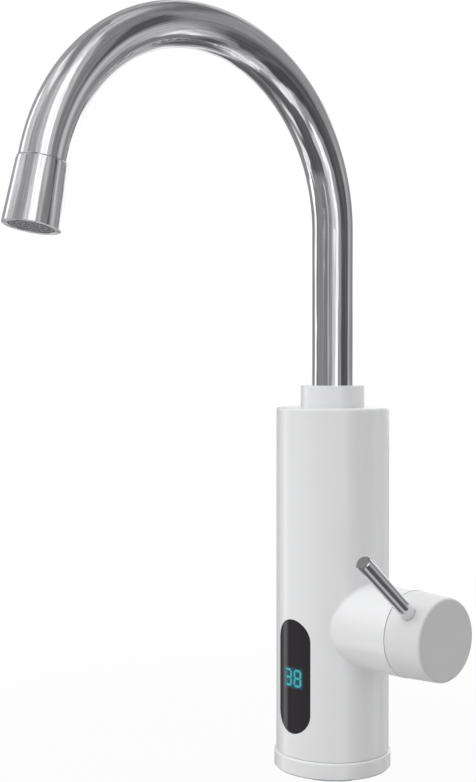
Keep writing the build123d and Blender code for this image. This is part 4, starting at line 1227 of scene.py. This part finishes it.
class HEATERTAP_OT_waterway(Operator):
    """Finish the flow housing, the valve and the heating tank, and make the flow spring"""

    bl_idname = "heater_tap.waterway"
    bl_label = "Finish Waterway"

    def execute(self, context):
        paint_slots("brass", "brushed_steel", "ceramic")
        spring = context.scene.heater_tap.spring
        low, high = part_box("flow_spring")
        length = high.z - low.z
        wound = length - spring.wire
        mesh = wound_bar(
            "wound_spring",
            high.x - spring.wire / 2,
            wound / spring.turns,
            (spring.wire, spring.wire),
            spring.wire,
            low.z + spring.wire / 2,
            wound,
            spring.steps,
        )
        piece = finished_piece("wound_spring", mesh, "brushed_steel", ["flow_spring"])
        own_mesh(piece)
        return {"FINISHED"}


class HEATERTAP_OT_spout(Operator):
    """Finish the polished spout with its nozzle, and the lever"""

    bl_idname = "heater_tap.spout"
    bl_label = "Finish Spout and Lever"

    def execute(self, context):
        paint_slots("polished_steel")
        paint("spout_tube", "spout_polish")
        paint("aerator_housing", "spout_polish")
        paint("lever_rod", "lever_polish")
        # The aerator insert's darker grey is painted shade for the nozzle's recess
        paint("aerator_insert", "aerator_grey")
        return {"FINISHED"}


class HEATERTAP_OT_handle(Operator):
    """Finish the knob and the magnet in it"""

    bl_idname = "heater_tap.handle"
    bl_label = "Finish Knob"

    def execute(self, context):
        paint_slots("white_knob", "magnet_nickel")
        return {"FINISHED"}


class HEATERTAP_OT_studio(Operator):
    """Set up the floor, the tent, the lamps and the camera"""

    bl_idname = "heater_tap.studio"
    bl_label = "Set Up Studio"

    def execute(self, context):
        studio = context.scene.heater_tap.studio
        self.make_floor(studio)
        self.make_tent(context, studio)
        self.make_lamps(context, studio)
        self.make_camera(context, studio)
        context.scene.view_settings.view_transform = "Standard"
        return {"FINISHED"}

    def make_floor(self, studio):
        """A pale floor that the camera sees as white but for the tap's soft shadow."""
        turns = [tau * step / FLOOR_STEPS for step in range(FLOOR_STEPS)]
        points = [
            (radius * cos(turn), radius * sin(turn), -FLOOR_DROP)
            for radius in (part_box("base_ring")[1].x - FLOOR_LAP, studio.floor_size / 2)
            for turn in turns
        ]
        faces = []
        for step in range(FLOOR_STEPS):
            after = (step + 1) % FLOOR_STEPS
            faces.append((step, FLOOR_STEPS + step, FLOOR_STEPS + after, after))
        mesh = bpy.data.meshes.new("studio_floor")
        mesh.from_pydata(points, [], faces)
        mesh.materials.append(self.pale_floor(studio))
        floor = bpy.data.objects.new("studio_floor", mesh)
        bpy.context.scene.collection.objects.link(floor)

    def pale_floor(self, studio):
        material = bpy.data.materials.new("pale_floor")
        material.use_nodes = True
        material.node_tree.nodes.clear()
        tree = Tree(material.node_tree)
        path = tree.node("ShaderNodeLightPath").outputs
        place = tree.place()
        speckle = tree.math("MULTIPLY_ADD", tree.noise(place, 60.0), 0.02, 0.99)
        tone = tree.shaded((0.6, 0.6, 0.6), speckle)
        matt = tree.add("ShaderNodeBsdfDiffuse", {"Color": tone})
        white = tree.add("ShaderNodeEmission", {"Color": (1, 1, 1), "Strength": 1.0})
        # The camera sees the shadow near the tap, and plain white further out
        whiteness = tree.ease(
            tree.vector_math("LENGTH", place),
            studio.shadow_reach * 0.3,
            studio.shadow_reach,
            studio.floor_whiteness,
        )
        seen = tree.math("MULTIPLY", path["Is Camera Ray"], whiteness)
        surface = tree.mix_shaders(seen, matt, white)
        # Reflections see the studio's cards below the horizon, and the tap shows from below
        clear = tree.add("ShaderNodeBsdfTransparent")
        below = tree.node("ShaderNodeNewGeometry").outputs["Backfacing"]
        unseen = tree.math("MAXIMUM", path["Is Glossy Ray"], below)
        surface = tree.mix_shaders(unseen, surface, clear)
        tree.node("ShaderNodeOutputMaterial", {"Surface": surface})
        return material

    def make_tent(self, context, studio):
        """Light from all round: white to the camera, the studio's cards to gloss and polish."""
        world = bpy.data.worlds.new("studio_tent")
        context.scene.world = world
        world.use_nodes = True
        world.node_tree.nodes.clear()
        tree = Tree(world.node_tree)
        path = tree.node("ShaderNodeLightPath").outputs
        direction = tree.node("ShaderNodeTexCoord").outputs["Generated"]
        turn = -atan2(studio.camera_place[1], studio.camera_place[0])
        turned = tree.add(
            "ShaderNodeVectorRotate", {"Vector": direction, "Angle": turn}, rotation_type="Z_AXIS"
        )
        x, y, z = tree.separate(turned)
        across = tree.math("DEGREES", tree.math("ARCTAN2", y, x))
        up = tree.math("DEGREES", tree.math("ARCSINE", z))
        card_group = studio_card_group()
        names = ("Left", "Right", "Low", "High", "Softness", "Brightness")
        brightness = studio.surround
        for name, card in STUDIO_CARDS.items():
            inputs = dict(zip(names, card), Across=across, Up=up, Behind=brightness)
            brightness = tree.add(
                "ShaderNodeGroup", inputs, name=name, label=name, node_tree=card_group
            )
        # The folds of the cloth between the cards and the tap
        folds = tree.vector_math("MULTIPLY", direction, (28.0, 28.0, 2.5))
        streaks = tree.noise(folds, 1.0, 3.0)
        swing = tree.math("MULTIPLY_ADD", streaks, studio.streaks, 1.0)
        swing = tree.math("SUBTRACT", swing, studio.streaks / 2)
        reflected = tree.math("MULTIPLY", brightness, swing)

        def background(color, strength):
            return tree.add("ShaderNodeBackground", {"Color": color, "Strength": strength})

        unseen = tree.mix_shaders(
            path["Is Glossy Ray"],
            background((1, 1, 1), studio.ambient),
            background((1, 1, 1.02), reflected),
        )
        through = tree.math("MAXIMUM", path["Is Camera Ray"], path["Is Transmission Ray"])
        seen = tree.mix_shaders(through, unseen, background((1, 1, 1), 1.0))
        tree.node("ShaderNodeOutputWorld", {"Surface": seen})

    def make_lamps(self, context, studio):
        """A large lamp above on the left of the camera, one overhead and one behind."""
        for name, (place, size, power) in LAMPS.items():
            lamp = bpy.data.lights.new(name, "AREA")
            lamp.shape = "SQUARE"
            lamp.size = size
            lamp.energy = getattr(studio, power)
            holder = bpy.data.objects.new(name, lamp)
            holder.location = place
            aim = Vector(LAMP_AIM) - holder.location
            holder.rotation_euler = aim.to_track_quat("-Z", "Y").to_euler()
            holder.visible_glossy = False
            context.scene.collection.objects.link(holder)

    def make_camera(self, context, studio):
        """The camera at the photograph's viewing angle."""
        lens = bpy.data.cameras.new("studio_camera")
        lens.lens = studio.focal_length
        lens.sensor_width = 36.0
        lens.clip_start = 0.01
        camera = bpy.data.objects.new("studio_camera", lens)
        camera.location = studio.camera_place
        camera.rotation_euler = (studio.camera_tilt, 0.0, studio.camera_turn)
        context.scene.collection.objects.link(camera)
        context.scene.camera = camera


class HEATERTAP_PT_sidebar(Panel):
    bl_idname = "HEATERTAP_PT_sidebar"
    bl_label = "Heater Tap"
    bl_space_type = "VIEW_3D"
    bl_region_type = "UI"
    bl_category = "Heater Tap"

    def draw(self, context):
        layout = self.layout
        settings = context.scene.heater_tap
        for operator in OPERATORS:
            layout.operator(operator.bl_idname)
        for group in ("casing", "metal", "display", "thread", "spring", "screws", "studio"):
            box = layout.box()
            box.label(text=group.title())
            for name in getattr(settings, group).bl_rna.properties.keys():
                if name not in {"rna_type", "name"}:
                    box.prop(getattr(settings, group), name)


OPERATORS = (
    HEATERTAP_OT_casing,
    HEATERTAP_OT_display,
    HEATERTAP_OT_electronics,
    HEATERTAP_OT_deck_fixing,
    HEATERTAP_OT_waterway,
    HEATERTAP_OT_spout,
    HEATERTAP_OT_handle,
    HEATERTAP_OT_studio,
)

CLASSES = (
    CasingSettings,
    MetalSettings,
    DisplaySettings,
    ThreadSettings,
    SpringSettings,
    ScrewSettings,
    StudioSettings,
    TapSettings,
    *OPERATORS,
    HEATERTAP_PT_sidebar,
)


def register():
    for cls in CLASSES:
        bpy.utils.register_class(cls)
    bpy.types.Scene.heater_tap = PointerProperty(type=TapSettings)


def unregister():
    del bpy.types.Scene.heater_tap
    for cls in reversed(CLASSES):
        bpy.utils.unregister_class(cls)


def main():
    register()
    make_finishes(bpy.context.scene.heater_tap)
    screws_group()
    wound_bar_group()
    bpy.ops.heater_tap.casing()
    bpy.ops.heater_tap.display()
    bpy.ops.heater_tap.electronics()
    bpy.ops.heater_tap.deck_fixing()
    bpy.ops.heater_tap.waterway()
    bpy.ops.heater_tap.spout()
    bpy.ops.heater_tap.handle()
    bpy.ops.heater_tap.studio()
    for material in list(bpy.data.materials):
        if not material.users:
            bpy.data.materials.remove(material)


if __name__ == "__main__":
    main()
